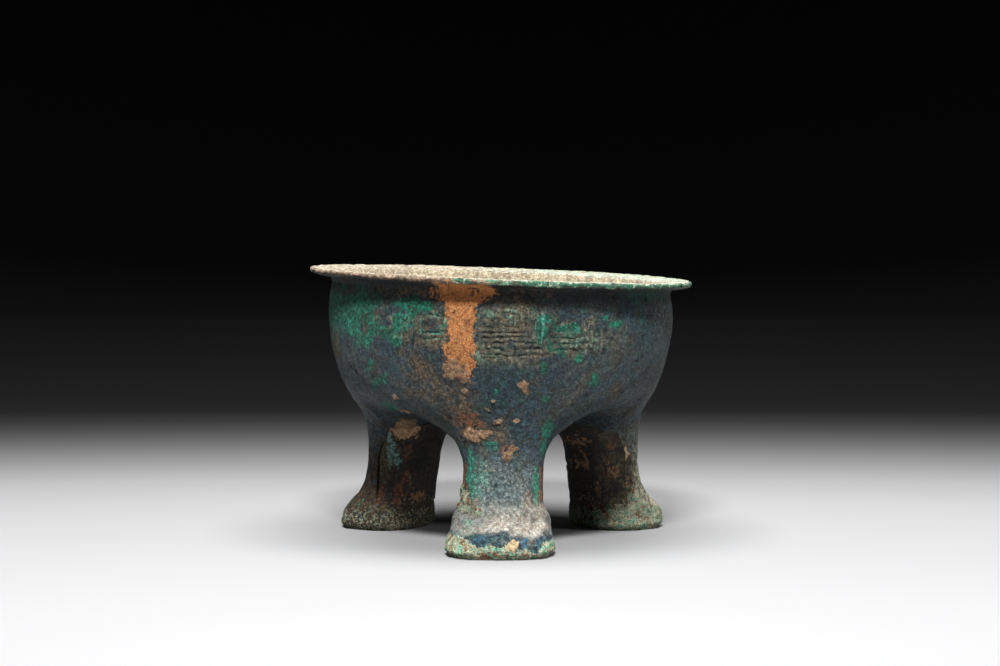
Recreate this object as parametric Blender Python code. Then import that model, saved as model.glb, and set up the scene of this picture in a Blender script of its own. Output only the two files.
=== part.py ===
"""Bronze li tripod, in metres, +Z up, standing on its feet with the bowl's axis on the Z axis.

The vessel is one hollow casting: a round bowl with a flaring flat rim, whose wall draws in to three lobes
that run down into hoofed legs. Each leg is a half-round bronze shell, open at the back, and its fired clay
casting core still fills it. The cores are separate pieces.
"""

import math
from collections import namedtuple

import bmesh
import bpy
import numpy as np

# Bowl and rim, outside sizes. The neck's radius drives the bowl's other radii and the legs' places.
HEIGHT = 0.1042
NECK_RADIUS = 0.0668
BELLY_RADIUS = NECK_RADIUS + 0.0012
SHOULDER_RADIUS = NECK_RADIUS - 0.0008
RIM_OVERHANG = 0.0088
RIM_THICKNESS = 0.0026
RIM_FLARE = math.radians(9)
RIM_TILT = 0.040
NECK_DROP = 0.0057
WALL = 0.0025

# Lobes and legs, outside sizes. A reach is a distance from the bowl's axis.
CROTCH_HEIGHT = 0.0490
LOBE_RISE = 0.0230
WAIST_HEIGHT = 0.0310
WAIST_REACH = NECK_RADIUS - 0.0068
WAIST_DEPTH = 0.0288
WAIST_BACK = WAIST_REACH - WAIST_DEPTH
WAIST_WIDTH = 0.0304
TOE_REACH = WAIST_REACH + 0.0098
HOOF_DEPTH = 0.0332
HEEL_REACH = TOE_REACH - HOOF_DEPTH
HOOF_WIDTH = 0.0406

# The slot in the back of each leg, and the casting core that fills it. The slot's lip is where the leg's
# half-round shell ends.
LEG_SHELL = 0.0024
SLOT_FLOOR = 0.0105
SLOT_CEILING = 0.0465
SLOT_HALF_WIDTH = 0.0245
LIP_REACH = WAIST_REACH - 0.0120
LIP_REACH_AT_CEILING = LIP_REACH - 0.0060
CEILING_BACK = WAIST_BACK - 0.0072
CORE_GAP = 0.0004
CORE_BULGE = 0.0006

# Fineness of the faceted solids
HALF_STEPS = 8
LOBE_STEPS = 8
BOWL_STEPS = 6
SLOT_STEPS = 14

SECTOR = math.radians(60)
NECK_Z = HEIGHT - NECK_DROP
SHOULDER_Z = CROTCH_HEIGHT + LOBE_RISE
BELLY_Z = SHOULDER_Z + 0.58 * (NECK_Z - SHOULDER_Z)
RIM_RADIUS = NECK_RADIUS + RIM_OVERHANG

# The reach moves a leg out and the sway moves it sideways, each at its waist and at its foot
Leg = namedtuple("Leg", "name azimuth waist_reach foot_reach waist_sway foot_sway")
LEGS = (
    Leg("front", -90, 0.0, 0.0010, 0.0009, -0.0005),
    Leg("right", 30, 0.0018, 0.0008, 0.0, 0.0),
    Leg("left", 150, 0.0, 0.0, 0.0, 0.0),
)

# A leg's profile below the waist: share of the waist's height, then how far each side has gone from
# the waist's size to the hoof's size, and the squareness of the section
HOOF_PROFILE = np.array(
    (
        (0.00, 1.00, 1.00, 1.00, 2.50),
        (0.15, 0.99, 0.97, 0.94, 2.45),
        (0.24, 0.93, 0.91, 0.82, 2.40),
        (0.34, 0.70, 0.83, 0.57, 2.30),
        (0.45, 0.36, 0.71, 0.28, 2.20),
        (0.61, 0.12, 0.48, 0.08, 2.10),
        (0.84, 0.00, 0.18, 0.00, 2.00),
        (1.00, 0.00, 0.00, 0.00, 2.00),
    )
)
HOOF_STATIONS = (0.84, 0.72, 0.60, 0.50, 0.42, 0.35, 0.29, 0.22, 0.13, 0.0)

# The bowl's inside follows the lobes down to these shares, at the front and at the back, then closes in a dip
LOBE_SHARES = (0.38, 0.50)
FLOOR_Z = CROTCH_HEIGHT + 0.0014
FLOOR_SOFTNESS = 0.0006
FLOOR_DIP = 0.0008


def smoothstep(x, low, high):
    share = np.clip((x - low) / (high - low), 0, 1)
    return share * share * (3 - 2 * share)


def bowl_radius(z):
    """The bowl's outer radius, from the shoulder over the belly to the neck."""
    below = np.clip((BELLY_Z - z) / (BELLY_Z - SHOULDER_Z), 0, None)
    above = np.clip((z - BELLY_Z) / (NECK_Z - BELLY_Z), 0, None)
    return BELLY_RADIUS - (BELLY_RADIUS - SHOULDER_RADIUS) * below**2 - (BELLY_RADIUS - NECK_RADIUS) * above**2


def shoulder_slope():
    """How fast the wall draws in below the shoulder, in radius for each unit of height."""
    return 2 * (BELLY_RADIUS - SHOULDER_RADIUS) / (BELLY_Z - SHOULDER_Z)


def superellipse(angle, power):
    c, s = np.cos(angle), np.sin(angle)
    return np.sign(c) * abs(c) ** (2 / power), np.sign(s) * abs(s) ** (2 / power)


def leg_size(height):
    """A leg's front and rear reach, half width and squareness, at a share of the waist's height."""
    out, back, side, power = (np.interp(height, HOOF_PROFILE[:, 0], column) for column in HOOF_PROFILE.T[1:])
    front = WAIST_REACH + (TOE_REACH - WAIST_REACH) * out
    rear = WAIST_BACK + (HEEL_REACH - WAIST_BACK) * back
    half = (WAIST_WIDTH + (HOOF_WIDTH - WAIST_WIDTH) * side) / 2
    return front, rear, half, power


def leg_ring(height, angle):
    """Outline of a leg at a share of the waist's height: out along the leg's azimuth, sideways, up."""
    front, rear, half, power = leg_size(height)
    along, across = superellipse(angle, power)
    x = (front + rear) / 2 + (front - rear) / 2 * along
    return np.stack([x, half * across, np.full_like(x, height * WAIST_HEIGHT)], -1)


def leg_shift(leg, lowered):
    """How far a leg stands out and sideways from its place, from the waist (0) to the sole (1)."""
    out = leg.waist_reach + (leg.foot_reach - leg.waist_reach) * lowered
    return out, leg.waist_sway + (leg.foot_sway - leg.waist_sway) * lowered


def valley(s):
    """The crease between two lobes, from the shoulder down and in to the axis: radius and height."""
    top = np.array([SHOULDER_RADIUS, SHOULDER_Z])
    down = np.array([-shoulder_slope(), -1.0])
    turn = top + down / np.linalg.norm(down) * 0.95 * LOBE_RISE
    floor = np.array([0.69 * SHOULDER_RADIUS, CROTCH_HEIGHT])
    end = np.array([0.0, CROTCH_HEIGHT])
    s = np.asarray(s)[..., None]
    point = (1 - s) ** 3 * top + 3 * s * (1 - s) ** 2 * turn + 3 * s**2 * (1 - s) * floor + s**3 * end
    slope = (1 - s) ** 2 * (turn - top) + 2 * s * (1 - s) * (floor - turn) + s**2 * (end - floor)
    return point, slope / np.linalg.norm(slope, axis=-1, keepdims=True)


def strand_starts(u):
    """Where the strands of a lobe start, on the edge of its sector, and which way they set off.

    The first half runs along the shoulder to the valley, and the second half down the valley to the axis.
    They lean in more and more on the way, and on the axis they head straight for their own leg.
    """
    turn = SECTOR * np.clip(2 * u, 0, 1)
    c, s = np.cos(turn), np.sin(turn)
    inward = np.stack([s, -c, 0 * u], -1)
    curve, slope = valley(np.clip(2 * u - 1, 0, 1))
    start = np.stack([curve[:, 0] * c, curve[:, 0] * s, curve[:, 1]], -1)
    onward = np.stack([slope[:, 0] * c, slope[:, 0] * s, slope[:, 1]], -1)
    lean = np.interp(u, (0, 0.125, 0.25, 0.375, 0.5, 0.725, 0.8, 1), np.radians((0, 5, 14, 26, 40, 90, 90, 120)))
    heading = np.cos(lean)[:, None] * onward + np.sin(lean)[:, None] * inward
    return start, heading


def lobe_point(u, v):
    """The lobe's outer surface: strands from the sector's edge (v 0) to the leg's waist (v 1)."""
    start, heading = strand_starts(u)
    end = leg_ring(np.ones_like(u), math.pi * u)
    below = leg_ring(np.full_like(u, 0.97), math.pi * u)
    drop = (start - end)[:, 2]
    flat = np.hypot(*(end - start)[:, :2].T)
    level = np.hypot(*heading[:, :2].T)
    reach = np.minimum(flat * level + drop * abs(heading[:, 2]), 1.09 * np.hypot(flat, drop))
    landing = (end - below) / np.linalg.norm(end - below, axis=-1, keepdims=True)
    first = start + heading * 0.55 * reach[:, None]
    second = end + landing * 0.55 * drop[:, None]
    v = np.asarray(v)[..., None]
    return (1 - v) ** 3 * start + 3 * v * (1 - v) ** 2 * first + 3 * v**2 * (1 - v) * second + v**3 * end


def leg_point(leg, w, v):
    """A lobe with its leg, in the leg's own frame. w runs once round from -1 to 1, and is 0 at the front.

    v is 0 on the sector's edge, 1 at the waist and 2 on the sole.
    """
    u = abs(w)
    upper = lobe_point(u, np.clip(v, 0, 1))
    lower = leg_ring(np.clip(2 - v, 0, 1), math.pi * u)
    point = np.where((v > 1)[:, None], lower, upper)
    point[:, 1] *= np.where(w < 0, -1, 1)
    settled = smoothstep(v, 0, 0.95)
    out, sideways = leg_shift(leg, np.clip(v - 1, 0, 1))
    point[:, 0] += settled * out
    point[:, 1] += settled * sideways
    return point


def wrap(w):
    return (w + 1) % 2 - 1


def leg_normal(leg, w, v):
    """Outward normals of that surface, from its slopes along and across the strands."""
    step = 1e-4
    around = leg_point(leg, wrap(w + step), v) - leg_point(leg, wrap(w - step), v)
    down = leg_point(leg, w, np.clip(v + step, 0, 2)) - leg_point(leg, w, np.clip(v - step, 0, 2))
    normal = np.cross(down, around)
    return normal / np.linalg.norm(normal, axis=-1, keepdims=True)


def loop_places():
    """Evenly spaced places round a lobe's loop, from the front by one side to the front again."""
    return wrap(np.arange(4 * HALF_STEPS) / (2 * HALF_STEPS))


def turned(points, leg):
    """Points from a leg's own frame, turned to its azimuth."""
    x, y, z = points.T
    c, s = math.cos(math.radians(leg.azimuth)), math.sin(math.radians(leg.azimuth))
    return np.stack([x * c - y * s, x * s + y * c, z], -1)


def lean_rim(points):
    """The mouth isn't level: it sinks towards +X, more and more from the shoulder to the neck."""
    leaned = points.copy()
    leaned[:, 2] -= RIM_TILT * points[:, 0] * smoothstep(points[:, 2], SHOULDER_Z + 0.004, NECK_Z)
    return leaned


def bowl_wall(inset):
    """The bowl's profile from the shoulder up to the neck, moved in by the wall's thickness."""
    heights = np.linspace(SHOULDER_Z, NECK_Z, BOWL_STEPS + 1)
    radii = bowl_radius(heights)
    slopes = np.gradient(radii, heights)
    slopes[0] = shoulder_slope()
    turn = np.arctan(slopes)
    return np.stack([radii - inset * np.cos(turn), heights + inset * np.sin(turn)], -1)


def rim_profile():
    """The rim from the neck's outside, round its edge and back to the neck's inside: radius and height."""
    out = np.array([math.cos(RIM_FLARE), math.sin(RIM_FLARE)])
    up = np.array([-out[1], out[0]])
    half = RIM_THICKNESS / 2
    edge = np.array([RIM_RADIUS - half, HEIGHT - half])
    bends = [edge + half * (math.cos(a) * out + math.sin(a) * up) for a in np.radians((-90, -45, 0, 45, 90))]
    under = [bends[0] - out * RIM_OVERHANG * share for share in (0.80, 0.4)]
    over = [bends[-1] - out * (RIM_OVERHANG * share) for share in (0.45, 0.90)]
    mouth = np.array([NECK_RADIUS - 0.85 * WALL, over[-1][1] - 0.35 * RIM_THICKNESS])
    return np.array([*under, *bends, *over, mouth])


def bowl_rings():
    """Rings of points up the bowl's outside, over the rim and down its inside."""
    profile = np.vstack([bowl_wall(0), rim_profile(), bowl_wall(WALL)[::-1]])
    angles = math.radians(LEGS[0].azimuth) + np.arange(6 * HALF_STEPS) * SECTOR / HALF_STEPS
    rings = [np.stack([r * np.cos(angles), r * np.sin(angles), np.full_like(angles, z)], -1) for r, z in profile]
    return [lean_rim(ring) for ring in rings]


def outer_loops(leg):
    """Loops of a lobe and its leg, from the sector's edge down to the sole."""
    w = loop_places()
    heights = [*np.linspace(0, 1, LOBE_STEPS + 1), *(2 - np.array(HOOF_STATIONS))]
    return [leg_point(leg, w, np.full_like(w, v)) for v in heights]


def inner_loops(leg):
    """Loops of the bowl's inside in a lobe, from the sector's edge to the rounded floor of the lobe."""
    w = loop_places()
    loops = []
    shares = np.interp(abs(w), (0.1, 0.5), LOBE_SHARES)
    for v in np.linspace(0, 1, LOBE_STEPS // 2 + 2):
        places = v * shares
        normal = leg_normal(leg, w, places)
        if v == 0:
            valley_side = np.sign(w)[:, None] * np.array([0, 1, 0]) * math.cos(SECTOR)
            valley_side = valley_side - np.array([math.sin(SECTOR), 0, 0])
            across = (normal * valley_side).sum(-1, keepdims=True) * valley_side
            normal = np.where((abs(w) >= 0.5)[:, None], normal - across, normal)
            normal[abs(w) > 1 - 1e-9] = (0, 0, -1)
            normal /= np.linalg.norm(normal, axis=-1, keepdims=True)
        loop = leg_point(leg, w, places) - normal * WALL
        loop[:, 2] = FLOOR_Z + FLOOR_SOFTNESS * np.logaddexp(0, (loop[:, 2] - FLOOR_Z) / FLOOR_SOFTNESS)
        loops.append(loop)
    edge = loops[-1]
    centre = np.array([edge[:, 0].mean(), 0, FLOOR_Z - FLOOR_DIP])
    for turn in np.radians((22, 45, 72)):
        across = np.array([math.cos(turn), math.cos(turn), 1 - math.sin(turn)])
        loops.append(centre + (edge - centre) * across)
    return loops, centre


def join_loops(mesh, upper, lower, closed=True):
    """A band of triangles between two loops of vertices, each pair split the same way."""
    count = len(upper)
    for i in range(count if closed else count - 1):
        j = (i + 1) % count
        mesh.faces.new((upper[i], lower[i], lower[j]))
        mesh.faces.new((upper[i], lower[j], upper[j]))


def add_loop(mesh, points):
    return [mesh.verts.new(point) for point in points]


def add_skin(mesh, loops):
    """Bands between one loop of points and the next. It returns the last loop's vertices."""
    verts = [add_loop(mesh, loop) for loop in loops]
    for upper, lower in zip(verts, verts[1:]):
        join_loops(mesh, upper, lower)
    return verts[-1]


def vessel_mesh():
    mesh = bmesh.new()
    add_skin(mesh, bowl_rings())
    for leg in LEGS:
        sole = add_skin(mesh, [turned(loop, leg) for loop in outer_loops(leg)])
        mesh.faces.new(sole)
        loops, bottom = inner_loops(leg)
        dip = add_skin(mesh, [turned(loop, leg) for loop in loops])
        fan(mesh, dip, turned(bottom[None], leg)[0])
    bmesh.ops.remove_doubles(mesh, verts=mesh.verts, dist=2e-6)
    bmesh.ops.dissolve_degenerate(mesh, edges=mesh.edges, dist=1e-7)
    bmesh.ops.recalc_face_normals(mesh, faces=mesh.faces)
    return mesh


def fan(mesh, loop, point):
    """Triangles that close a loop of vertices to one point."""
    tip = mesh.verts.new(point)
    for i, vert in enumerate(loop):
        mesh.faces.new((vert, tip, loop[(i + 1) % len(loop)]))


def slot_section(leg, z, gap):
    """The slot's outline at one height. In front of its lip it's the inside of the leg's shell, and behind
    its lip it's wider than the leg. A gap makes it smaller all round, for the core.
    """
    height = min(max(z / WAIST_HEIGHT, 0.5), 1)
    front, rear, half, _ = leg_size(height)
    lip = np.interp(z, (WAIST_HEIGHT, SLOT_CEILING), (LIP_REACH, LIP_REACH_AT_CEILING)) - gap
    rear_edge = np.interp(z, (WAIST_HEIGHT, SLOT_CEILING), (0.5 * WAIST_BACK, CEILING_BACK)) + gap
    centre, depth = (front + rear) / 2, (front - rear) / 2 - LEG_SHELL - gap
    inside = half - LEG_SHELL - gap
    first = math.acos(np.clip((lip - centre) / depth, -1, 1))
    angles = np.linspace(-first, first, SLOT_STEPS + 1)
    curve = np.stack([centre + depth * np.cos(angles), inside * np.sin(angles)], -1)
    side = SLOT_HALF_WIDTH - gap
    outline = np.array([(rear_edge, -side), (lip, -side), *curve, (lip, side), (rear_edge, side)])
    outline += leg_shift(leg, max(1 - z / WAIST_HEIGHT, 0))
    return np.column_stack([outline, np.full(len(outline), z)])


def slot_mesh(leg, gap=0.0):
    mesh = bmesh.new()
    bottom, top = SLOT_FLOOR + gap, SLOT_CEILING - gap
    heights = [bottom, *np.linspace(bottom, WAIST_HEIGHT, 4)[1:], *np.linspace(WAIST_HEIGHT, top, 4)[1:]]
    rings = [add_loop(mesh, turned(slot_section(leg, z, gap), leg)) for z in heights]
    for lower, upper in zip(rings, rings[1:]):
        join_loops(mesh, upper, lower)
    mesh.faces.new(rings[0])
    mesh.faces.new(rings[-1])
    bmesh.ops.recalc_face_normals(mesh, faces=mesh.faces)
    return mesh


def leg_blank_mesh(leg):
    """The whole leg as a solid, whose back swells a little, to shape the core's bare back."""
    mesh = bmesh.new()
    w = loop_places()
    loops = []
    for v in [*np.linspace(0.3, 1, LOBE_STEPS), *(2 - np.array(HOOF_STATIONS))]:
        places = np.full_like(w, v)
        swell = CORE_BULGE * np.clip(-np.cos(math.pi * w), 0, 1)
        loops.append(turned(leg_point(leg, w, places) + leg_normal(leg, w, places) * swell[:, None], leg))
    top = loops[0].mean(axis=0) + np.array([0, 0, 0.004])
    verts = [add_loop(mesh, loop) for loop in loops]
    for upper, lower in zip(verts, verts[1:]):
        join_loops(mesh, upper, lower)
    fan(mesh, verts[0], top)
    mesh.faces.new(verts[-1])
    bmesh.ops.recalc_face_normals(mesh, faces=mesh.faces)
    return mesh


def material(name, colour, roughness, metallic):
    made = bpy.data.materials.new(name)
    made.use_nodes = True
    shader = made.node_tree.nodes["Principled BSDF"]
    shader.inputs["Base Color"].default_value = (*colour, 1)
    shader.inputs["Roughness"].default_value = roughness
    shader.inputs["Metallic"].default_value = metallic
    return made


def add_object(name, mesh, collection, finish=None):
    data = bpy.data.meshes.new(name)
    mesh.to_mesh(data)
    mesh.free()
    made = bpy.data.objects.new(name, data)
    collection.objects.link(made)
    if finish is None:
        made.hide_render = True
        made.display_type = "WIRE"
        return made
    data.materials.append(finish)
    data.shade_smooth()
    data.set_sharp_from_angle(angle=math.radians(40))
    return made


def carve(target, operation, cutter):
    modifier = target.modifiers.new(cutter.name, "BOOLEAN")
    modifier.operation = operation
    modifier.solver = "EXACT"
    modifier.object = cutter


def main():
    for old in list(bpy.data.objects):
        bpy.data.objects.remove(old)
    tripod = bpy.data.collections.new("li_tripod")
    cutters = bpy.data.collections.new("cutters")
    for collection in (tripod, cutters):
        bpy.context.scene.collection.children.link(collection)
    bronze = material("patinated_bronze", (0.10, 0.14, 0.15), 0.6, 0.5)
    clay = material("fired_clay", (0.30, 0.20, 0.12), 0.9, 0.0)
    vessel = add_object("bronze_vessel", vessel_mesh(), tripod, bronze)
    for leg in LEGS:
        core = add_object(f"clay_core_{leg.name}_leg", slot_mesh(leg, CORE_GAP), tripod, clay)
        carve(core, "INTERSECT", add_object(f"{leg.name}_leg_blank", leg_blank_mesh(leg), cutters))
        carve(vessel, "DIFFERENCE", add_object(f"{leg.name}_leg_slot", slot_mesh(leg), cutters))


main()
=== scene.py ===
# %% [markdown]
# # A bronze li tripod, finished over its CAD frame
# A li is a round bowl whose belly swells into three lobes, and each lobe runs down into a leg. This one was cast in
# bronze, and long burial has turned its skin to slate grey, malachite green and pale crust. The clay cores round which
# the legs were cast are still in them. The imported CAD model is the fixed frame, so everything here is made in its
# metres and stands where it stands. It is loaded first, because every later step is measured against it.

# %% Load the frame
import math

import bmesh
import bpy
import numpy as np
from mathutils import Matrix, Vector
from mathutils.bvhtree import BVHTree
from mathutils.kdtree import KDTree


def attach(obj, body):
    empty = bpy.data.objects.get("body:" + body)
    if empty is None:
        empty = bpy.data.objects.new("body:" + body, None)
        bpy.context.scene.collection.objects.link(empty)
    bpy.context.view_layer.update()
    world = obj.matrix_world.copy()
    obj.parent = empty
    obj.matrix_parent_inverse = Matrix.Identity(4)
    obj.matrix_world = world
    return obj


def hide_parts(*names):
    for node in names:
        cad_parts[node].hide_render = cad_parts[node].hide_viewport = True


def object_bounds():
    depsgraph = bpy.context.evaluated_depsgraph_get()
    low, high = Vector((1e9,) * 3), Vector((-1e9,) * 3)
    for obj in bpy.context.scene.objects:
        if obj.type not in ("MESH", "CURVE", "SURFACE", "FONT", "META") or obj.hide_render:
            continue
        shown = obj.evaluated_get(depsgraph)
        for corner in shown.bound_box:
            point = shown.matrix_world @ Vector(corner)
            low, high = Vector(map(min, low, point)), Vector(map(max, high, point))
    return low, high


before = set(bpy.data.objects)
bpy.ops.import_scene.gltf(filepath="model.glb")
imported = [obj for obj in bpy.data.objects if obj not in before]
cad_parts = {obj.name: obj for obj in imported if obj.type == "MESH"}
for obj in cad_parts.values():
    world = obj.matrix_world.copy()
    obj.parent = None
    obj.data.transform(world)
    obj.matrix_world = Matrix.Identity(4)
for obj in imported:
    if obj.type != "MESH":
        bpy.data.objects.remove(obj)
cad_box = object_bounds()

print("nodes in the frame:", sorted(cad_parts))

# %% [markdown]
# The camera comes next, so that every later look is taken from one place. A long lens well away from the vessel keeps
# the three feet nearly the same size, as in a studio picture. It stands a little above the rim and tips down slightly,
# which shows the rim's top as a thin bright oval.

# %% Camera
camera = bpy.data.objects.new("camera", bpy.data.cameras.new("camera"))
camera.data.lens = 85
camera.data.sensor_width = 36
camera.location = (-0.0004, -0.9369, 0.1337)
camera.rotation_euler = (math.radians(90 - 3.26), 0, 0)
bpy.context.scene.collection.objects.link(camera)
bpy.context.scene.camera = camera
print("camera stands", round(-camera.location.y, 3), "m in front of the bowl's axis")

# %% [markdown]
# Corroded metal has lumps of every size, so almost every step below needs smooth random lumps in space. Blender's own
# texture nodes make them for colour, but the mesh needs them too. A table of random numbers on a lattice, blended
# between its corners, does it for all the vertices at once, and a fixed seed gives the same vessel on each run. The
# lattice is turned by a random angle, so that its rows don't show.


# %% Lumps, and soft thresholds
def smoothstep(x, low, high):
    share = np.clip((x - low) / (high - low), 0, 1)
    return share * share * (3 - 2 * share)


def fade(x, low, high):
    """1 up to low, and 0 from high on."""
    return 1 - smoothstep(x, low, high)


LATTICE = 32
WEAKER = 0.55


def lumps(points, size, seed):
    """Smooth random values from -1 to 1, in lumps about size metres across."""
    random = np.random.default_rng(seed)
    table = random.uniform(-1, 1, LATTICE**3).astype(np.float32)
    turn = np.linalg.qr(random.normal(size=(3, 3)))[0]
    cell = (points @ turn / size + random.uniform(0, LATTICE, 3)).T.astype(np.float32)
    low = np.floor(cell)
    sx, sy, sz = (cell - low) ** 2 * (3 - 2 * (cell - low))
    steps = np.array([[LATTICE**2], [LATTICE], [1]])
    x0, y0, z0 = (low.astype(int) % LATTICE) * steps
    x1, y1, z1 = ((low.astype(int) + 1) % LATTICE) * steps
    corners = ((y0, z0), (y1, z0), (y0, z1), (y1, z1))
    rows = [table[x0 + y + z] * (1 - sx) + table[x1 + y + z] * sx for y, z in corners]
    return (rows[0] * (1 - sy) + rows[1] * sy) * (1 - sz) + (rows[2] * (1 - sy) + rows[3] * sy) * sz


def rough_lumps(points, size, seed, layers=3):
    """Lumps with finer lumps on them, each layer half as large as the last and weaker."""
    total = sum(WEAKER**i * lumps(points, size / 2**i, seed + i) for i in range(layers))
    return total / sum(WEAKER**i for i in range(layers))


def patches(points, size, seed, low, high, layers=3):
    """Patches with soft edges: what stands above a level in rough lumps."""
    return smoothstep(rough_lumps(points, size, seed, layers), low, high)


sample = rough_lumps(np.random.default_rng(0).uniform(-0.08, 0.08, (2000, 3)), 0.004, 1)
print("rough lumps run from", round(sample.min(), 2), "to", round(sample.max(), 2))

# %% [markdown]
# The vessel's skin is drawn again from the same named sizes as its CAD solid, only in steps of half a millimetre. The
# solid's facets are too coarse to carry casting marks and crust, and smoothing them would change the shape. These are
# the sizes, in metres.

# %% Sizes of the vessel
HEIGHT = 0.1042
NECK_RADIUS = 0.0668
BELLY_RADIUS = 0.0680
SHOULDER_RADIUS = 0.0660
RIM_OVERHANG = 0.0088
RIM_THICKNESS = 0.0026
RIM_FLARE = math.radians(9)
RIM_TILT = 0.040
NECK_Z = HEIGHT - 0.0057
WALL = 0.0025
CROTCH_HEIGHT = 0.0490
LOBE_RISE = 0.0230
SHOULDER_Z = CROTCH_HEIGHT + LOBE_RISE
BELLY_Z = SHOULDER_Z + 0.58 * (NECK_Z - SHOULDER_Z)
WAIST_HEIGHT = 0.0310
WAIST_REACH, WAIST_BACK, WAIST_WIDTH = 0.0600, 0.0312, 0.0304
TOE_REACH, HEEL_REACH, HOOF_WIDTH = 0.0698, 0.0366, 0.0406
LEG_SHELL = 0.0024
SLOT_FLOOR, SLOT_CEILING = 0.0105, 0.0465
SLOT_HALF_WIDTH = 0.0245
LIP_REACH, LIP_REACH_AT_CEILING = 0.0480, 0.0420
CEILING_BACK = 0.0240
CORE_GAP = 0.0004
CORE_BULGE = 0.0006
FLOOR_Z = CROTCH_HEIGHT + 0.0014
THINNEST = 0.0016
SECTOR = math.radians(60)

# Each leg's azimuth, then how far it stands out at its waist and its foot, and how far sideways at each
LEGS = {
    "front": (-90, 0.0, 0.0010, 0.0009, -0.0005),
    "right": (30, 0.0018, 0.0008, 0.0, 0.0),
    "left": (150, 0.0, 0.0, 0.0, 0.0),
}

# The leg below its waist: share of the waist's height, how far front, back and sides have gone from the waist's size
# to the hoof's, and how square the section is
HOOF = np.array(
    (
        (0.00, 1.00, 1.00, 1.00, 2.50),
        (0.15, 0.99, 0.97, 0.94, 2.45),
        (0.24, 0.93, 0.91, 0.82, 2.40),
        (0.34, 0.70, 0.83, 0.57, 2.30),
        (0.45, 0.36, 0.71, 0.28, 2.20),
        (0.61, 0.12, 0.48, 0.08, 2.10),
        (0.84, 0.00, 0.18, 0.00, 2.00),
        (1.00, 0.00, 0.00, 0.00, 2.00),
    )
)

# Fineness of the new skin: steps in each sixth of the bowl's round, then along the lobes and down the legs
AROUND = 144
DOWN_LOBE = 84
DOWN_LEG = 60
print("one step round the bowl is", round(1000 * BELLY_RADIUS * SECTOR / AROUND, 2), "mm")

# %% [markdown]
# The bowl and its rim are rings about the upright axis: a profile of radius and height is turned round it. The mouth
# isn't level on the real piece, so the rings lean towards +X, more and more from the shoulder to the neck. A Screw
# modifier could turn the profile, but it can't lean it part of the way, so the rings are placed in code.


# %% The bowl and the rim
def bowl_radius(z):
    below = np.clip((BELLY_Z - z) / (BELLY_Z - SHOULDER_Z), 0, None)
    above = np.clip((z - BELLY_Z) / (NECK_Z - BELLY_Z), 0, None)
    return BELLY_RADIUS - (BELLY_RADIUS - SHOULDER_RADIUS) * below**2 - (BELLY_RADIUS - NECK_RADIUS) * above**2


def shoulder_slope():
    return 2 * (BELLY_RADIUS - SHOULDER_RADIUS) / (BELLY_Z - SHOULDER_Z)


def bowl_wall(inset, steps):
    heights = np.linspace(SHOULDER_Z, NECK_Z, steps + 1)
    radii = bowl_radius(heights)
    slopes = np.gradient(radii, heights)
    slopes[0] = shoulder_slope()
    turn = np.arctan(slopes)
    return np.stack([radii - inset * np.cos(turn), heights + inset * np.sin(turn)], -1)


def rim_profile():
    """From the neck's outside, under the rim, round its edge and over its top to the neck's inside."""
    out = np.array([math.cos(RIM_FLARE), math.sin(RIM_FLARE)])
    up = np.array([-out[1], out[0]])
    half = RIM_THICKNESS / 2
    edge = np.array([NECK_RADIUS + RIM_OVERHANG - half, HEIGHT - half])
    bends = [edge + half * (math.cos(a) * out + math.sin(a) * up) for a in np.radians(np.linspace(-90, 90, 9))]
    under = [bends[0] - out * RIM_OVERHANG * share for share in np.linspace(0.80, 0.06, 14)]
    over = [bends[-1] - out * RIM_OVERHANG * share for share in np.linspace(0.06, 0.90, 15)]
    mouth = np.array([NECK_RADIUS - 0.85 * WALL, over[-1][1] - 0.35 * RIM_THICKNESS])
    return np.array([*under, *bends, *over, mouth])


def lowered(points):
    """How far the lean of the mouth lowers each point."""
    return RIM_TILT * points[:, 0] * smoothstep(points[:, 2], SHOULDER_Z + 0.004, NECK_Z)


def lean_rim(points):
    leaned = points.copy()
    leaned[:, 2] -= lowered(points)
    return leaned


ANGLES = math.radians(-90) + np.arange(6 * AROUND) * SECTOR / AROUND


def ring(radius, z):
    """A ring about the axis. Radius and height may differ from angle to angle."""
    return np.stack([radius * np.cos(ANGLES), radius * np.sin(ANGLES), np.broadcast_to(z, ANGLES.shape)], -1)


def bowl_rings():
    profile = np.vstack([bowl_wall(0, 56), rim_profile(), bowl_wall(WALL, 30)[::-1]])
    return np.array([lean_rim(ring(radius, z)) for radius, z in profile])


print("rings up the bowl, over the rim and down its inside:", bowl_rings().shape[:2])

# %% [markdown]
# A lobe is the hard shape: it starts as a third of the bowl's round at the shoulder, meets its neighbours in creases
# that run down to a point under the bowl, and ends as the round section of a leg. Sculpting it would lose the sizes.
# Instead curves called strands are drawn from the edge of the lobe's own third, each a Bezier curve that sets off
# along the bowl's wall or the crease and lands on the leg's section. Place w goes once round the lobe from -1 to 1,
# with 0 at its front, and v runs from 0 at the sector's edge, over 1 at the waist, to 2 on the sole.


# %% Strands of the lobes and sections of the legs
def superellipse(angle, power):
    c, s = np.cos(angle), np.sin(angle)
    return np.sign(c) * abs(c) ** (2 / power), np.sign(s) * abs(s) ** (2 / power)


def leg_size(height):
    out, back, side, power = (np.interp(height, HOOF[:, 0], column) for column in HOOF.T[1:])
    front = WAIST_REACH + (TOE_REACH - WAIST_REACH) * out
    rear = WAIST_BACK + (HEEL_REACH - WAIST_BACK) * back
    return front, rear, (WAIST_WIDTH + (HOOF_WIDTH - WAIST_WIDTH) * side) / 2, power


def leg_ring(height, angle):
    front, rear, half, power = leg_size(height)
    along, across = superellipse(angle, power)
    x = (front + rear) / 2 + (front - rear) / 2 * along
    return np.stack([x, half * across, np.full_like(x, height * WAIST_HEIGHT)], -1)


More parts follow.
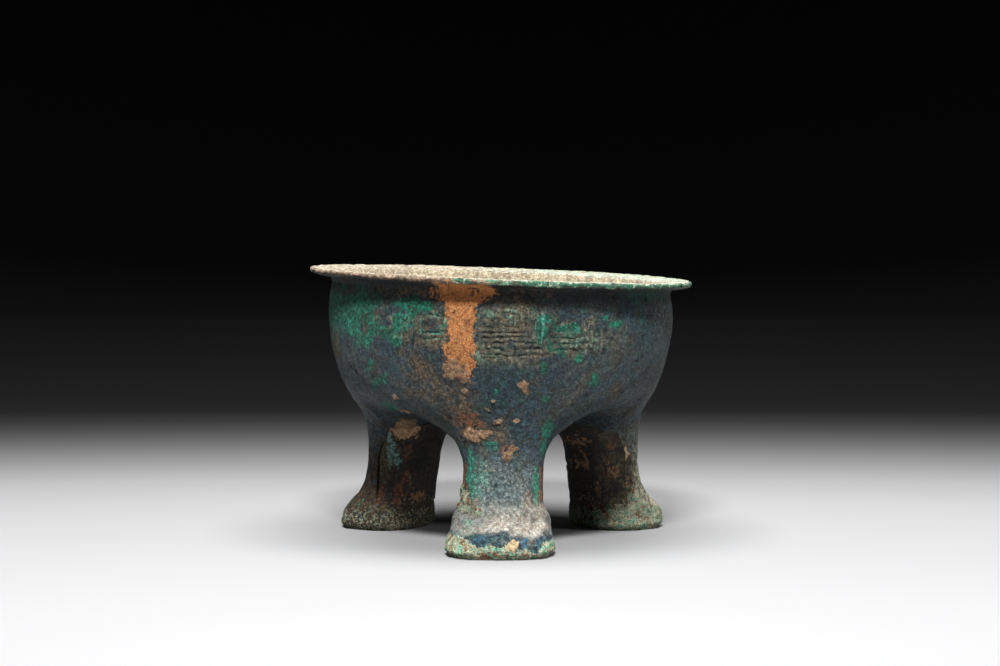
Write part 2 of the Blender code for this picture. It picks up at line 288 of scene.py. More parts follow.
def valley(s):
    """The crease between two lobes, from the shoulder in to the axis: its points and its directions."""
    top = np.array([SHOULDER_RADIUS, SHOULDER_Z])
    down = np.array([-shoulder_slope(), -1.0])
    turn = top + down / np.linalg.norm(down) * 0.95 * LOBE_RISE
    floor = np.array([0.69 * SHOULDER_RADIUS, CROTCH_HEIGHT])
    end = np.array([0.0, CROTCH_HEIGHT])
    s = np.asarray(s)[..., None]
    point = (1 - s) ** 3 * top + 3 * s * (1 - s) ** 2 * turn + 3 * s**2 * (1 - s) * floor + s**3 * end
    slope = (1 - s) ** 2 * (turn - top) + 2 * s * (1 - s) * (floor - turn) + s**2 * (end - floor)
    return point, slope / np.linalg.norm(slope, axis=-1, keepdims=True)


def strand_starts(u):
    turn = SECTOR * np.clip(2 * u, 0, 1)
    c, s = np.cos(turn), np.sin(turn)
    inward = np.stack([s, -c, 0 * u], -1)
    curve, slope = valley(np.clip(2 * u - 1, 0, 1))
    start = np.stack([curve[:, 0] * c, curve[:, 0] * s, curve[:, 1]], -1)
    onward = np.stack([slope[:, 0] * c, slope[:, 0] * s, slope[:, 1]], -1)
    stops = (0, 0.125, 0.25, 0.375, 0.5, 0.725, 0.8, 1)
    lean = np.interp(u, stops, np.radians((0, 5, 14, 26, 40, 90, 90, 120)))
    return start, np.cos(lean)[:, None] * onward + np.sin(lean)[:, None] * inward


def lobe_point(u, v):
    start, heading = strand_starts(u)
    end = leg_ring(np.ones_like(u), math.pi * u)
    below = leg_ring(np.full_like(u, 0.97), math.pi * u)
    drop = (start - end)[:, 2]
    flat = np.hypot(*(end - start)[:, :2].T)
    level = np.hypot(*heading[:, :2].T)
    reach = np.minimum(flat * level + drop * abs(heading[:, 2]), 1.09 * np.hypot(flat, drop))
    landing = (end - below) / np.linalg.norm(end - below, axis=-1, keepdims=True)
    first = start + heading * 0.55 * reach[:, None]
    second = end + landing * 0.55 * drop[:, None]
    v = np.asarray(v)[..., None]
    return (1 - v) ** 3 * start + 3 * v * (1 - v) ** 2 * first + 3 * v**2 * (1 - v) * second + v**3 * end


print("a crease runs from radius and height", *(1000 * valley((0, 1))[0]).round(1), "in millimetres")


# %% One lobe with its leg
def leg_shift(leg, share):
    """How far a leg stands out and sideways, from its waist, where share is 0, to its foot, where it is 1."""
    _, waist_reach, foot_reach, waist_sway, foot_sway = leg
    return waist_reach + (foot_reach - waist_reach) * share, waist_sway + (foot_sway - waist_sway) * share


def leg_point(leg, w, v):
    u = abs(w)
    upper = lobe_point(u, np.clip(v, 0, 1))
    lower = leg_ring(np.clip(2 - v, 0, 1), math.pi * u)
    point = np.where((v > 1)[:, None], lower, upper)
    point[:, 1] *= np.where(w < 0, -1, 1)
    settled = smoothstep(v, 0, 0.95)
    out, sideways = leg_shift(leg, np.clip(v - 1, 0, 1))
    point[:, 0] += settled * out
    point[:, 1] += settled * sideways
    return point


def wrap(w):
    return (w + 1) % 2 - 1


def leg_normal(leg, w, v):
    step = 1e-4
    around = leg_point(leg, wrap(w + step), v) - leg_point(leg, wrap(w - step), v)
    down = leg_point(leg, w, np.clip(v + step, 0, 2)) - leg_point(leg, w, np.clip(v - step, 0, 2))
    normal = np.cross(down, around)
    return normal / np.linalg.norm(normal, axis=-1, keepdims=True)


def turned(points, leg):
    c, s = math.cos(math.radians(leg[0])), math.sin(math.radians(leg[0]))
    x, y, z = np.moveaxis(points, -1, 0)
    return np.stack([x * c - y * s, x * s + y * c, z], -1)


PLACES_ROUND = wrap(np.arange(4 * AROUND) / (2 * AROUND))
waist = turned(leg_point(LEGS["front"], PLACES_ROUND, np.ones(4 * AROUND)), LEGS["front"])
print("the front leg's waist is", (1000 * np.ptp(waist, axis=0)).round(1)[:2], "mm across and deep")

# %% [markdown]
# The loops of a leg are now stacked into a skin. Its sole is closed by loops that shrink to a point, because one
# large flat face couldn't be roughened. The bowl's inside goes on down from its wall: rays are cast outwards from the
# axis to find the lobes' outside at each height, and the inside stands one wall's thickness in front of it. It closes
# in a nearly flat floor above the legs' clay. Last, wherever the floor would come too near to the underside, as it does
# between the legs, it is lifted until the metal is 1.6 mm thick.


# %% Loops of the legs, and rings of the bowl's inside
def outer_loops(leg):
    heights = [*np.linspace(0, 1, DOWN_LOBE + 1), *np.linspace(1, 2, DOWN_LEG + 1)[1:]]
    loops = [leg_point(leg, PLACES_ROUND, np.full_like(PLACES_ROUND, v)) for v in heights]
    middle = loops[-1].mean(axis=0)
    loops += [middle + (loops[-1] - middle) * share for share in np.linspace(0.94, 0.06, 13)]
    return turned(np.array(loops), leg)


def quads_between(loops, first=0):
    rows, columns = loops.shape[:2]
    index = first + np.arange(rows * columns).reshape(rows, columns)
    after = np.roll(index, -1, axis=1)
    return np.stack([index[:-1], index[1:], after[1:], after[:-1]], -1).reshape(-1, 4)


def lobes_tree(leg_skins):
    """The lobes' outside, coarsened, as a tree that rays can be cast at."""
    coarse = [skin[: DOWN_LOBE + 1 : 3, ::4] for skin in leg_skins]
    firsts = [i * coarse[0][..., 0].size for i in range(3)]
    corners = np.concatenate([skin.reshape(-1, 3) for skin in coarse]).tolist()
    faces = np.concatenate([quads_between(skin, first) for skin, first in zip(coarse, firsts)]).tolist()
    return BVHTree.FromPolygons(corners, faces)


def inner_reach(outside, heights):
    """How far the inside stands from the axis, at each height and angle, smoothed along each ring."""
    reach = np.empty((len(heights), len(ANGLES)))
    for i, z in enumerate(heights):
        for j, angle in enumerate(ANGLES):
            away = Vector((math.cos(angle), math.sin(angle), 0))
            place, normal, _, _ = outside.ray_cast(Vector((0, 0, z)), away)
            reach[i, j] = math.hypot(place.x, place.y) - WALL / max(abs(normal.dot(away)), 0.5)
    for _ in range(6):
        reach = (np.roll(reach, 1, 1) + np.roll(reach, -1, 1) + 2 * reach) / 4
    return reach


CORNER_IN, CORNER_DOWN = 0.0048, 0.0042
FIRST_LOW_RING = 20


def inside_rings(outside):
    heights = np.linspace(SHOULDER_Z - 0.0006, FLOOR_Z + CORNER_DOWN, 26)
    reach = inner_reach(outside, heights)
    rings = [ring(row, z) for row, z in zip(reach, heights)]
    for turn in np.radians(np.linspace(12, 90, 7)):
        edge = reach[-1] - CORNER_IN * (1 - math.cos(turn))
        rings.append(ring(edge, heights[-1] - CORNER_DOWN * math.sin(turn)))
    for share in np.linspace(0.96, 0.01, 34):
        rings.append(ring(edge * share, FLOOR_Z - 0.0006 * math.sin(math.pi * share) ** 2))
    rings = np.array(rings)
    for place in rings[FIRST_LOW_RING:].reshape(-1, 3):
        skin, normal, _, _ = outside.find_nearest(Vector(place))
        if (Vector(place) - skin).dot(normal) > -THINNEST:
            place[:] = skin - THINNEST * normal
    return rings


leg_skins = [outer_loops(leg) for leg in LEGS.values()]
low_inside = inside_rings(lobes_tree(leg_skins))
print("loops of one leg:", leg_skins[0].shape[:2], "and rings of the low inside:", low_inside.shape[:2])

# %% [markdown]
# All the loops become one closed mesh. Where two skins meet they have the same points, so merging by distance joins
# them, and the normals are then made to point outwards everywhere.


# %% One closed mesh
def closed_mesh(name, skins):
    """A mesh of several skins of loops, joined where they touch. Each skin says which of its end loops get a face."""
    points, faces, caps = [], [], []
    first = 0
    for loops, ends in skins:
        count, around = loops.shape[:2]
        faces.append(quads_between(loops, first))
        if "first" in ends:
            caps.append(list(range(first, first + around)))
        if "last" in ends:
            caps.append(list(range(first + (count - 1) * around, first + count * around)))
        points.append(loops.reshape(-1, 3))
        first += len(points[-1])
    mesh = bpy.data.meshes.new(name)
    mesh.from_pydata(np.concatenate(points), [], np.concatenate(faces).tolist() + caps)
    work = bmesh.new()
    work.from_mesh(mesh)
    bmesh.ops.remove_doubles(work, verts=work.verts, dist=3e-7)
    bmesh.ops.dissolve_degenerate(work, edges=work.edges, dist=1e-7)
    bmesh.ops.recalc_face_normals(work, faces=work.faces)
    open_edges = sum(not edge.is_manifold for edge in work.edges)
    work.to_mesh(mesh)
    work.free()
    print(name, len(mesh.polygons), "faces,", open_edges, "open edges")
    return mesh


def add_mesh(name, mesh):
    made = bpy.data.objects.new(name, mesh)
    bpy.context.scene.collection.objects.link(made)
    return made


bowl_skin = np.concatenate([bowl_rings(), low_inside])
vessel = add_mesh("vessel", closed_mesh("vessel", [(skin, ("last",)) for skin in (bowl_skin, *leg_skins)]))


def positions(mesh):
    flat = np.empty(len(mesh.vertices) * 3)
    mesh.vertices.foreach_get("co", flat)
    return flat.reshape(-1, 3)


def normals(mesh):
    flat = np.empty(len(mesh.vertices) * 3)
    mesh.vertex_normals.foreach_get("vector", flat)
    return flat.reshape(-1, 3)


# %% [markdown]
# Marks that belong to one place, such as a green patch or a lump of soil, are listed by that place. Each is an oval
# seen from one side of the vessel: the side's azimuth, how far across and how high its middle is, and its half sizes,
# all in millimetres. That reads like a map of the object. An image could hold it too, but then the marks couldn't
# have their own thickness in the mesh, and they wouldn't stay sharp close up. An oval may also lean, by an angle in
# degrees, and reach only from one depth to another.


# %% Ovals on the surface
def seen_from(azimuth, points):
    """Across and up in millimetres, and how near, for someone who looks at the vessel from that azimuth."""
    c, s = math.cos(math.radians(azimuth)), math.sin(math.radians(azimuth))
    x, y, z = points.T
    return 1000 * (y * c - x * s), 1000 * z, 1000 * (x * c + y * s)


def oval(points, azimuth, across, up, half_width, half_height, lean=0, nearest=-5, furthest=99):
    """1 in the middle of the oval, 0 on its outline, and negative outside it."""
    x, z, near = seen_from(azimuth, points)
    c, s = math.cos(math.radians(lean)), math.sin(math.radians(lean))
    x, z = x - across, z - up
    distance = np.hypot((x * c + z * s) / half_width, (z * c - x * s) / half_height)
    return np.where((near > nearest) & (near < furthest), 1 - distance, -9.0)


def all_ovals(points, places):
    return np.max([oval(points, *place) for place in places], axis=0)


def ragged(field, points, size, seed, spread=0.5, soft=0.4):
    """A mask from a field that is positive inside: its outline wanders with lumps of that size and fades softly."""
    return smoothstep(field + spread * rough_lumps(points, size, seed), -soft, soft)


def marks(points, places, size, seed, spread=0.5, soft=0.4):
    """The listed ovals as one mask with ragged outlines."""
    return ragged(all_ovals(points, places), points, size, seed, spread, soft)


trial = np.array([[0.000, -0.067, 0.080], [0.008, -0.067, 0.080], [0.016, -0.067, 0.080]])
print("an oval gives", oval(trial, -90, 0, 80, 8, 8).round(1), "in its middle, on its outline and outside it")

# %% [markdown]
# The band round the bowl is a meander: lines that turn at right angles, cut as narrow grooves. They are written down
# as the real vessel shows them in front, on the unrolled wall and in groove pitches, and two squared spirals are worked
# out. A groove is then wherever a point of the skin is near a line, so the pattern is cut into the mesh and doesn't
# float on it. Six repeats go once round, as a maker who pressed the same stamp into the mould would have it.

# %% Lines of the band
PITCH = 0.00214
BAND_LOW, BAND_HIGH = 0.0690, 0.0968
REPEAT = 2 * math.pi * 0.0675 / 6 / PITCH


def squared_spiral(left, low, width, height, mirrored=False):
    """A path that winds inwards from its lower left corner, one pitch further in on each turn."""
    corners = [(0.0, 0.0)]
    l, r, b, t = 0.0, float(width), 0.0, float(height)
    while r - l > 0.9 and t - b > 0.9:
        corners += [(r, b), (r, t), (l, t)]
        b += 1
        if t - b < 0.9:
            break
        corners.append((l, b))
        l, r, t = l + 1, r - 1, t - 1
        corners.append((l, b))
    path = np.array(corners)
    if mirrored:
        path[:, 0] = width - path[:, 0]
    return path + (left, low)


BAND_LINES = [
    ((-5.2, 6.2), (3.6, 6.2), (3.6, 9.0)),
    ((-5.2, 7.1), (2.6, 7.1), (2.6, 9.3)),
    ((0.4, 5.2), (4.7, 5.2), (4.7, 10.2)),
    ((0.4, 4.2), (5.8, 4.2), (5.8, 10.6)),
    ((-5.4, 5.2), (-1.0, 5.2), (-1.0, 4.2), (-4.4, 4.2)),
    ((-5.8, 3.2), (-0.4, 3.2)),
    ((0.4, 3.2), (6.8, 3.2)),
    ((-5.2, 8.1), (-2.0, 8.1), (-2.0, 9.4), (-4.6, 9.4), (-4.6, 10.4)),
    ((-0.8, 8.2), (1.4, 8.2), (1.4, 10.4), (-3.2, 10.5)),
    ((7.2, 9.0), (10.8, 9.0), (10.8, 7.4), (8.2, 7.4)),
    ((7.2, 6.2), (13.0, 6.2), (13.0, 9.6)),
    ((8.4, 5.1), (14.2, 5.1), (14.2, 9.6)),
    ((7.2, 3.9), (15.4, 3.9), (15.4, 9.0)),
    ((22.8, 10.0), (22.8, 4.0), (25.6, 4.0), (25.6, 7.0)),
    ((23.8, 10.0), (23.8, 6.6), (24.8, 6.6), (24.8, 9.0)),
]


def band_paths():
    paths = [np.array(line) for line in BAND_LINES]
    for low in (3.0, 6.9):
        paths.append(squared_spiral(16.9, low, 4.8, 2.8, low > 4))
    return paths


def groove_depth(points):
    """0 on the plain wall and 1 in the middle of a groove."""
    around = (np.degrees(np.arctan2(points[:, 1], points[:, 0])) + 87.0) / 60 * REPEAT
    around += 0.30 * lumps(points, 0.006, 61) + 0.16 * lumps(points, 0.0022, 65)
    x = (around + 6.5) % REPEAT - 6.5
    z = (points[:, 2] + lowered(points) - BAND_LOW) / PITCH
    z = z + 0.30 * lumps(points, 0.006, 62) + 0.16 * lumps(points, 0.0022, 66)
    nearest = np.full(len(points), 9.0)
    for path in band_paths():
        for start, end in zip(path, path[1:]):
            along = end - start
            share = np.clip(((x - start[0]) * along[0] + (z - start[1]) * along[1]) / (along @ along), 0, 1)
            away = np.hypot(x - start[0] - share * along[0], z - start[1] - share * along[1])
            nearest = np.minimum(nearest, away)
    half_width = 0.34 + 0.08 * lumps(points, 0.003, 67)
    return fade(nearest, 0.06, half_width) * (1 - 0.65 * patches(points, 0.0040, 68, 0.1, 0.5))


print("one repeat of the band is", round(REPEAT, 1), "pitches long, in", len(band_paths()), "paths")

# %% [markdown]
# The band is far from whole. Where the metal corroded, the grooves are shallow or gone, and they are clear in only a
# few places, which are listed. Elsewhere slow lumps decide how much is left.

# %% What is left of the band
CLEAR_BAND = [
    (-90, 5.0, 82.0, 21.0, 12.0),
    (-90, -29.0, 86.0, 15.0, 9.0),
    (-90, 29.0, 82.0, 12.0, 8.0),
    (30, -8.0, 84.0, 22.0, 9.0),
    (150, 12.0, 83.0, 18.0, 8.0),
    (90, -4.0, 82.0, 20.0, 9.0),
]


def band_left(points):
    z = points[:, 2]
    in_band = smoothstep(z, BAND_LOW - 0.001, BAND_LOW + 0.003) * fade(z, BAND_HIGH - 0.002, BAND_HIGH + 0.002)
    clear = smoothstep(all_ovals(points, CLEAR_BAND) + 0.40 * rough_lumps(points, 0.006, 63), -0.1, 0.35)
    elsewhere = 0.35 * patches(points, 0.014, 64, -0.1, 0.4)
    return in_band * np.maximum(clear, elsewhere)


# %% [markdown]
# What lies on the bronze now: malachite, a bright green film, with turquoise along some grooves; soil, the orange
# streak that runs down from the rim, and lumps of it; brown dust and rust; a few specks of azurite, which is blue; and
# chips of cream lime. In a few places the band is eroded to nodules, and one ankle has a thick crust. These lists say
# where each is.

# %% Where the deposits are
MALACHITE = [
    (-90, -61.5, 91.5, 10.0, 8.5),
    (-90, -53.0, 92.5, 8.0, 7.0),
    (-90, -57.0, 84.5, 2.6, 4.5),
    (-90, -52.0, 80.6, 3.6, 3.0),
    (-90, -46.5, 84.0, 4.0, 2.2),
    (-90, -33.1, 93.8, 7.4, 3.0),
    (-90, -37.0, 87.4, 4.0, 4.6),
    (-90, -40.5, 82.6, 2.6, 4.0),
    (-90, 15.1, 86.0, 2.4, 5.6),
    (-90, 24.8, 85.2, 4.8, 2.2),
    (-90, 18.3, 79.0, 1.5, 1.8),
    (-90, 22.4, 77.0, 2.2, 2.0, 20),
    (-90, 25.5, 79.8, 5.0, 1.0),
    (-90, 15.7, 70.3, 1.3, 2.4),
    (-90, 28.7, 74.0, 2.0, 1.4),
    (-90, 34.9, 65.7, 1.5, 2.8),
    (-90, 38.9, 89.1, 1.2, 1.0),
    (-90, 43.0, 86.6, 2.6, 1.6),
    (-90, 54.8, 98.0, 11.0, 3.0),
    (-90, -49.6, 70.6, 1.2, 3.4, -30),
    (-90, -46.0, 64.4, 1.6, 5.0, -45),
    (-90, -43.0, 53.5, 4.2, 2.4, -20),
    (-90, 17.4, 46.4, 2.4, 3.4),
    (-90, 16.0, 40.0, 1.6, 3.0),
    (-90, -8.8, 25.0, 1.2, 4.0),
    (-90, 7.5, 19.5, 1.2, 1.0),
    (-90, -12.8, 13.0, 1.8, 0.8),
    (-90, -11.0, 31.0, 1.8, 8.6),
    (-90, -6.4, 30.6, 1.6, 4.8),
    (-90, -16.4, 36.0, 1.4, 6.0),
    (-90, -3.2, 41.3, 2.6, 1.8),
    (-90, 13.0, 27.0, 1.2, 8.0),
    (-90, -2.4, 61.6, 1.2, 0.9),
    (-90, 16.6, 58.6, 1.6, 1.4),
    (-90, 8.5, 62.5, 1.0, 0.8),
    (30, 20.0, 90.0, 10.0, 5.0),
    (30, -30.0, 76.0, 4.0, 6.5),
    (150, -22.0, 92.0, 9.0, 4.2),
    (150, 6.0, 60.0, 3.5, 7.0),
    (90, 8.0, 91.0, 11.0, 4.6),
    (90, -30.0, 80.0, 5.0, 4.0),
    (90, 34.0, 70.0, 3.5, 5.0),
]
TURQUOISE = [
    (-90, -26.5, 86.6, 8.0, 4.6),
    (-90, -36.0, 92.0, 6.0, 4.0),
    (-90, 15.0, 86.0, 3.4, 6.0),
    (-90, 23.0, 84.0, 3.0, 2.0),
    (-90, -46.3, 88.1, 1.6, 1.0),
    (30, 20.0, 88.0, 8.0, 5.0),
    (150, -20.0, 90.0, 8.0, 5.0),
    (90, 6.0, 88.0, 9.0, 5.0),
]
SOIL_LUMPS = [
    (-90, -18.2, 70.6, 3.1, 3.6),
    (-90, -13.6, 68.6, 1.6, 3.0),
    (-90, -18.8, 103.6, 2.0, 1.5),
    (-90, -24.6, 103.2, 0.9, 0.8),
    (-90, 8.0, 64.6, 1.9, 1.5, 30),
    (-90, 9.0, 62.8, 1.0, 1.5),
    (-90, -10.5, 45.2, 3.6, 2.8),
    (-90, -6.6, 46.2, 2.8, 1.6),
    (-90, 2.6, 38.2, 1.5, 2.6, -40),
    (-90, 5.0, 40.2, 1.4, 0.8, 20),
    (-90, -5.3, 32.0, 0.8, 1.0),
    (-90, -1.6, 50.6, 2.6, 0.9, 20),
    (-90, 6.0, 51.0, 1.4, 0.8, -12),
    (-90, -5.0, 55.6, 1.4, 0.7, -30),
    (-90, -3.0, 58.6, 0.9, 0.7),
    (-90, -13.4, 62.2, 1.2, 0.8),
    (-90, -37.0, 52.0, 3.0, 0.9, -10),
    (-90, -40.0, 58.6, 1.5, 1.0, -30),
    (90, 12.0, 66.0, 3.0, 2.6),
    (30, 4.0, 44.0, 2.6, 2.4),
]
DUST = [
    (-90, 2.6, 91.5, 10.0, 5.0),
    (-90, -24.0, 80.5, 8.0, 3.0),
    (-90, -28.0, 84.0, 6.0, 2.4),
    (-90, -49.1, 89.6, 2.6, 1.8),
    (-90, -30.0, 70.0, 5.0, 6.0, 30),
    (-90, -24.0, 63.0, 7.0, 5.0),
    (-90, -16.0, 58.0, 5.0, 6.0),
    (-90, -8.0, 46.0, 8.0, 4.0),
    (-90, -30.0, 99.0, 22.0, 2.6),
    (-90, 12.0, 99.0, 15.0, 1.6),
    (-90, -64.2, 78.3, 1.4, 5.0),
    (-90, -6.0, 76.6, 6.0, 3.0),
    (-90, 44.0, 62.0, 4.0, 1.4, 40),
    (90, 20.0, 84.0, 14.0, 7.0),
    (90, -18.0, 62.0, 10.0, 8.0),
    (30, 0.0, 70.0, 12.0, 7.0),
    (150, 14.0, 78.0, 11.0, 8.0),
]
RUST = [
    (-90, -14.0, 28.0, 1.6, 7.0),
    (-90, 10.0, 21.0, 2.4, 3.6),
    (-90, 15.0, 24.0, 1.0, 8.0),
    (-90, -9.0, 21.0, 1.2, 1.6),
    (-90, -12.0, 50.5, 5.0, 3.0),
    (-90, 2.0, 40.0, 3.0, 2.0),
]
CREAM_CHIPS = [
    (-90, 4.4, 5.6, 2.0, 2.4, -30),
    (-90, 50.3, 31.0, 1.1, 2.6, 0, -30, 20),
]
AZURITE = [
    (-90, -3.4, 42.5, 1.6, 2.6),
    (-90, -1.5, 37.0, 2.2, 1.8),
    (-90, 9.2, 6.4, 1.6, 1.8),
    (-90, -9.5, 58.8, 1.0, 1.0),
    (-90, 12.0, 45.0, 2.4, 1.4),
    (-90, -24.6, 84.8, 2.6, 1.4),
    (-90, -17.0, 8.4, 1.6, 1.2),
    (-90, -28.0, 47.0, 3.0, 2.0),
]
ERODED = [
    (-90, -3.4, 75.6, 6.4, 4.6),
    (-90, 30.0, 80.6, 8.0, 3.4),
    (-90, 2.0, 90.6, 9.0, 2.6),
    (90, 10.0, 78.0, 9.0, 5.0),
]
CLAY_PATCH = [(-90, -38.6, 42.0, 5.8, 4.6, 14, -20, 60)]
ANKLE_CRUST = [
    (-90, -13.6, 19.0, 3.8, 3.2),
    (-90, -14.6, 23.0, 2.0, 2.4),
    (-90, -9.8, 17.4, 2.6, 1.6),
]

# The soil streak: heights in millimetres, and how far across its left and right edges are there
STREAK = np.array(
    (
        (66.4, -15.6, -11.6),
        (70.0, -17.0, -10.8),
        (74.0, -20.8, -10.4),
        (77.0, -22.0, -10.2),
        (80.0, -20.2, -10.0),
        (85.2, -19.4, -10.0),
        (92.0, -19.6, -9.6),
        (95.0, -20.4, -8.2),
        (97.0, -24.0, -4.4),
        (99.5, -25.5, -2.0),
        (101.5, -24.0, -5.0),
        (108.0, -21.0, -15.0),
    )
)


def streak(points):
    x, z, near = seen_from(-90, points)
    left, right = (np.interp(z, STREAK[:, 0], column) for column in STREAK.T[1:])
    within = np.minimum(x - left, 1.3 * (right - x)) / 4
    return np.where(near > 0, np.minimum(within, (z - 66.5) / 3), -9.0)


print(len(MALACHITE), "green places,", len(SOIL_LUMPS), "lumps of soil,", len(AZURITE), "blue places")


# %% [markdown]
# The masks come next: numbers between 0 and 1 for every point of the skin. The first ones tell the bowl's inside and
# the rim's top and edge from the outside, by height, by distance from the axis and by the way the skin faces. Low in
# the bowl that isn't enough, so a search tree of the inner rings' points answers how near each point is to them.


# %% Masks of the inside and the rim
def rim_level(points):
    """Height in millimetres above the feet, as if the mouth were level."""
    return 1000 * (points[:, 2] + lowered(points))


inner_places = low_inside.reshape(-1, 3)[::2]
inner_tree = KDTree(len(inner_places))
for i, place in enumerate(inner_places):
    inner_tree.insert(place, i)
inner_tree.balance()
NEAR_INSIDE = 0.0013
LOWEST_LEVEL, SHOULDER_LEVEL = 48, 72


def regions(points, facing):
    """Which points are on the bowl's inside, and on the rim's top and edge."""
    x, y, _ = 1000 * points.T
    radius, level = np.hypot(x, y), rim_level(points)
    outwards = (facing[:, 0] * x + facing[:, 1] * y) / np.maximum(radius, 1e-6)
    within_wall = radius < np.where(level < SHOULDER_LEVEL + 4, 65.2, 66.4)
    inside = ((level >= SHOULDER_LEVEL) & within_wall & (outwards < 0.3)).astype(float)
    for i in np.nonzero((level > LOWEST_LEVEL) & (level < SHOULDER_LEVEL))[0]:
        inside[i] = facing[i, 2] > outwards[i] and inner_tree.find(points[i])[2] < NEAR_INSIDE
    rim = smoothstep(level, 98.6, 99.6) * (radius > 65.9)
    rim_top = rim * smoothstep(facing[:, 2], 0.78, 0.93)
    rim_edge = rim * fade(facing[:, 2], 0.78, 0.93) * smoothstep(facing[:, 2], -0.8, -0.5) * (radius > 72)
    return inside, rim_top, rim_edge


def rim_masks(points, facing, rim_top, rim_edge):
    """Brown and painted shade under the rim's edge, pale grey-green over its right half, and malachite along its front
    right edge.
    """
    x, y, _ = 1000 * points.T
    azimuth = np.degrees(np.arctan2(y, x))
    green_side = smoothstep(np.cos(np.radians(azimuth + 42)) + 0.25 * rough_lumps(points, 0.006, 70), 0.35, 0.75)
    return {
        "rim_under": rim_edge * fade(facing[:, 2] + 0.3 * rough_lumps(points, 0.003, 59), -0.35, 0.25),
        "rim_cool": rim_top * smoothstep(x + 12 * rough_lumps(points, 0.008, 38), -30, 30),
        "green_edge": np.maximum(rim_edge, rim_top * smoothstep(np.hypot(x, y), 67.5, 72.0)) * green_side,
    }


print(len(inner_places), "places tell where the bowl's inside is")

# %% [markdown]
# The listed places become masks with ragged outlines. To them come weak patches between the places and on the sides
# that the picture doesn't show. Fine lines that run down each lobe's flanks are left from working the mould.


# %% Masks of what lies on the bronze
def lines_down(points):
    """Fine lines that run down each lobe's flanks towards the crotch between the legs."""
    azimuth = np.degrees(np.arctan2(points[:, 1], points[:, 0]))
    third = np.round((azimuth + 90) / 120)
    around = np.radians(azimuth + 90 - 120 * third)
    across = np.abs(np.hypot(points[:, 0], points[:, 1]) * np.sin(around))
    up = points[:, 2]
    side = 0.02 * (3 * third + np.sign(around))
    lines = rough_lumps(np.stack([0.78 * up - 0.62 * across, (0.78 * across + 0.62 * up) / 9, side], -1), 0.0014, 91, 3)
    where = smoothstep(across, 0.014, 0.026) * smoothstep(up, 0.040, 0.048) * fade(up, 0.070, 0.084)
    return where * smoothstep(lines, -0.15, 0.35)


def deposit_masks(points, facing, outer, not_inside, under_rim, dusty):
    _, y, z = 1000 * points.T
    front = smoothstep(-facing[:, 1], 0.0, 0.35) * (z > 16)
    spots = ragged(rough_lumps(points, 0.016, 71) - 0.42, points, 0.004, 72, 0.35)
    spots *= smoothstep(rim_level(points), 40, 80)
    soil = ragged(streak(points), points, 0.0026, 74, 0.75, 0.34)
    lump = marks(points, SOIL_LUMPS, 0.0018, 75, 0.9, 0.25)
    crumbs = patches(points, 0.0022, 76, 0.55, 0.75, 2) * patches(points, 0.02, 77, 0.0, 0.4)
    drift = patches(points, 0.018, 83, 0.0, 0.55) * (1 - 0.6 * front)
    on_leg = fade(z, 30, 44) * (z > 8)
    stains = 0.6 * on_leg * patches(points, 0.006, 86, 0.15, 0.5) * smoothstep(y, -20, 5)
    return {
        "malachite": outer * np.maximum(marks(points, MALACHITE, 0.0024, 73, 0.9, 0.6), spots * (1 - 0.75 * front)),
        "soil": not_inside * soil * (1 - 0.45 * patches(points, 0.004, 90, 0.1, 0.5)),
        "lump": np.maximum(not_inside * lump, 0.3 * outer * (1 - under_rim) * crumbs),
        "dust": outer * np.maximum(0.95 * dusty, 0.25 * drift),
        "rust": outer * np.maximum(0.8 * marks(points, RUST, 0.0024, 85, 1.0, 0.6), stains),
        "stria": outer * lines_down(points),
        "patch": outer * marks(points, CLAY_PATCH, 0.0030, 341, 0.6, 0.25),
        "chip": outer * marks(points, CREAM_CHIPS, 0.0014, 87, 0.6, 0.2),
        "azurite": 0.6 * outer * marks(points, AZURITE, 0.0016, 82, 1.1, 0.5),
    }


print("the soil streak runs over", round(STREAK[-1, 0] - STREAK[0, 0], 1), "mm of height")

# %% [markdown]
# The legs have their own look: their fronts, the right leg's outer side and their lower parts are painted lighter, as
# painted light, brown patina lies at the back, a chalky bloom on the front foot's shoulder, and a crust of nodules
# round the soles, which is thin on the left foot, climbs high on the right one and sits in a thick lump on the front
# ankle.


# %% Masks of the legs and feet
def ankle_crust(points):
    return marks(points, ANKLE_CRUST, 0.002, 79, 0.6)


def crust_mask(points):
    x, y, z = 1000 * points.T
    front_leg = smoothstep(-y, 20, 32) * (np.abs(x) < 26)
    start = 4.8 + np.clip(-0.5 - x / 26, -1, 0) * front_leg * 2.6 + 3.0 * smoothstep(np.abs(x - 1), 11, 17)
    foot = fade(z + 3.0 * rough_lumps(points, 0.0040, 78), start, start + 2.4)
    tall = smoothstep(x, 44, 58) * smoothstep(10 - y, -10, 4) * fade(z + 4 * rough_lumps(points, 0.005, 96), 13, 18)
    amount = np.where(y > -18, np.where(x < 0, 0.30, 0.55 + 0.40 * smoothstep(x, 36, 48)), 1.0)
    return np.clip(np.maximum(np.maximum(foot * amount, ankle_crust(points)), 0.9 * tall), 0, 1)


def bloom_mask(points, facing):
    x, _, z = 1000 * points.T
    upward = smoothstep(facing[:, 2] + 0.25 * rough_lumps(points, 0.004, 81), 0.0, 0.6)
    ragged_z = z + 2.6 * rough_lumps(points, 0.0035, 97)
    shoulder = smoothstep(-z, -24, -13) * smoothstep(ragged_z, 8.8 - 2.0 * smoothstep(x, 2, 9), 10.8)
    uneven = (1 - 0.45 * smoothstep(-x, 2, 11)) * (0.8 + 0.3 * rough_lumps(points, 0.005, 36))
    return shoulder * (0.45 + 0.50 * upward) * uneven


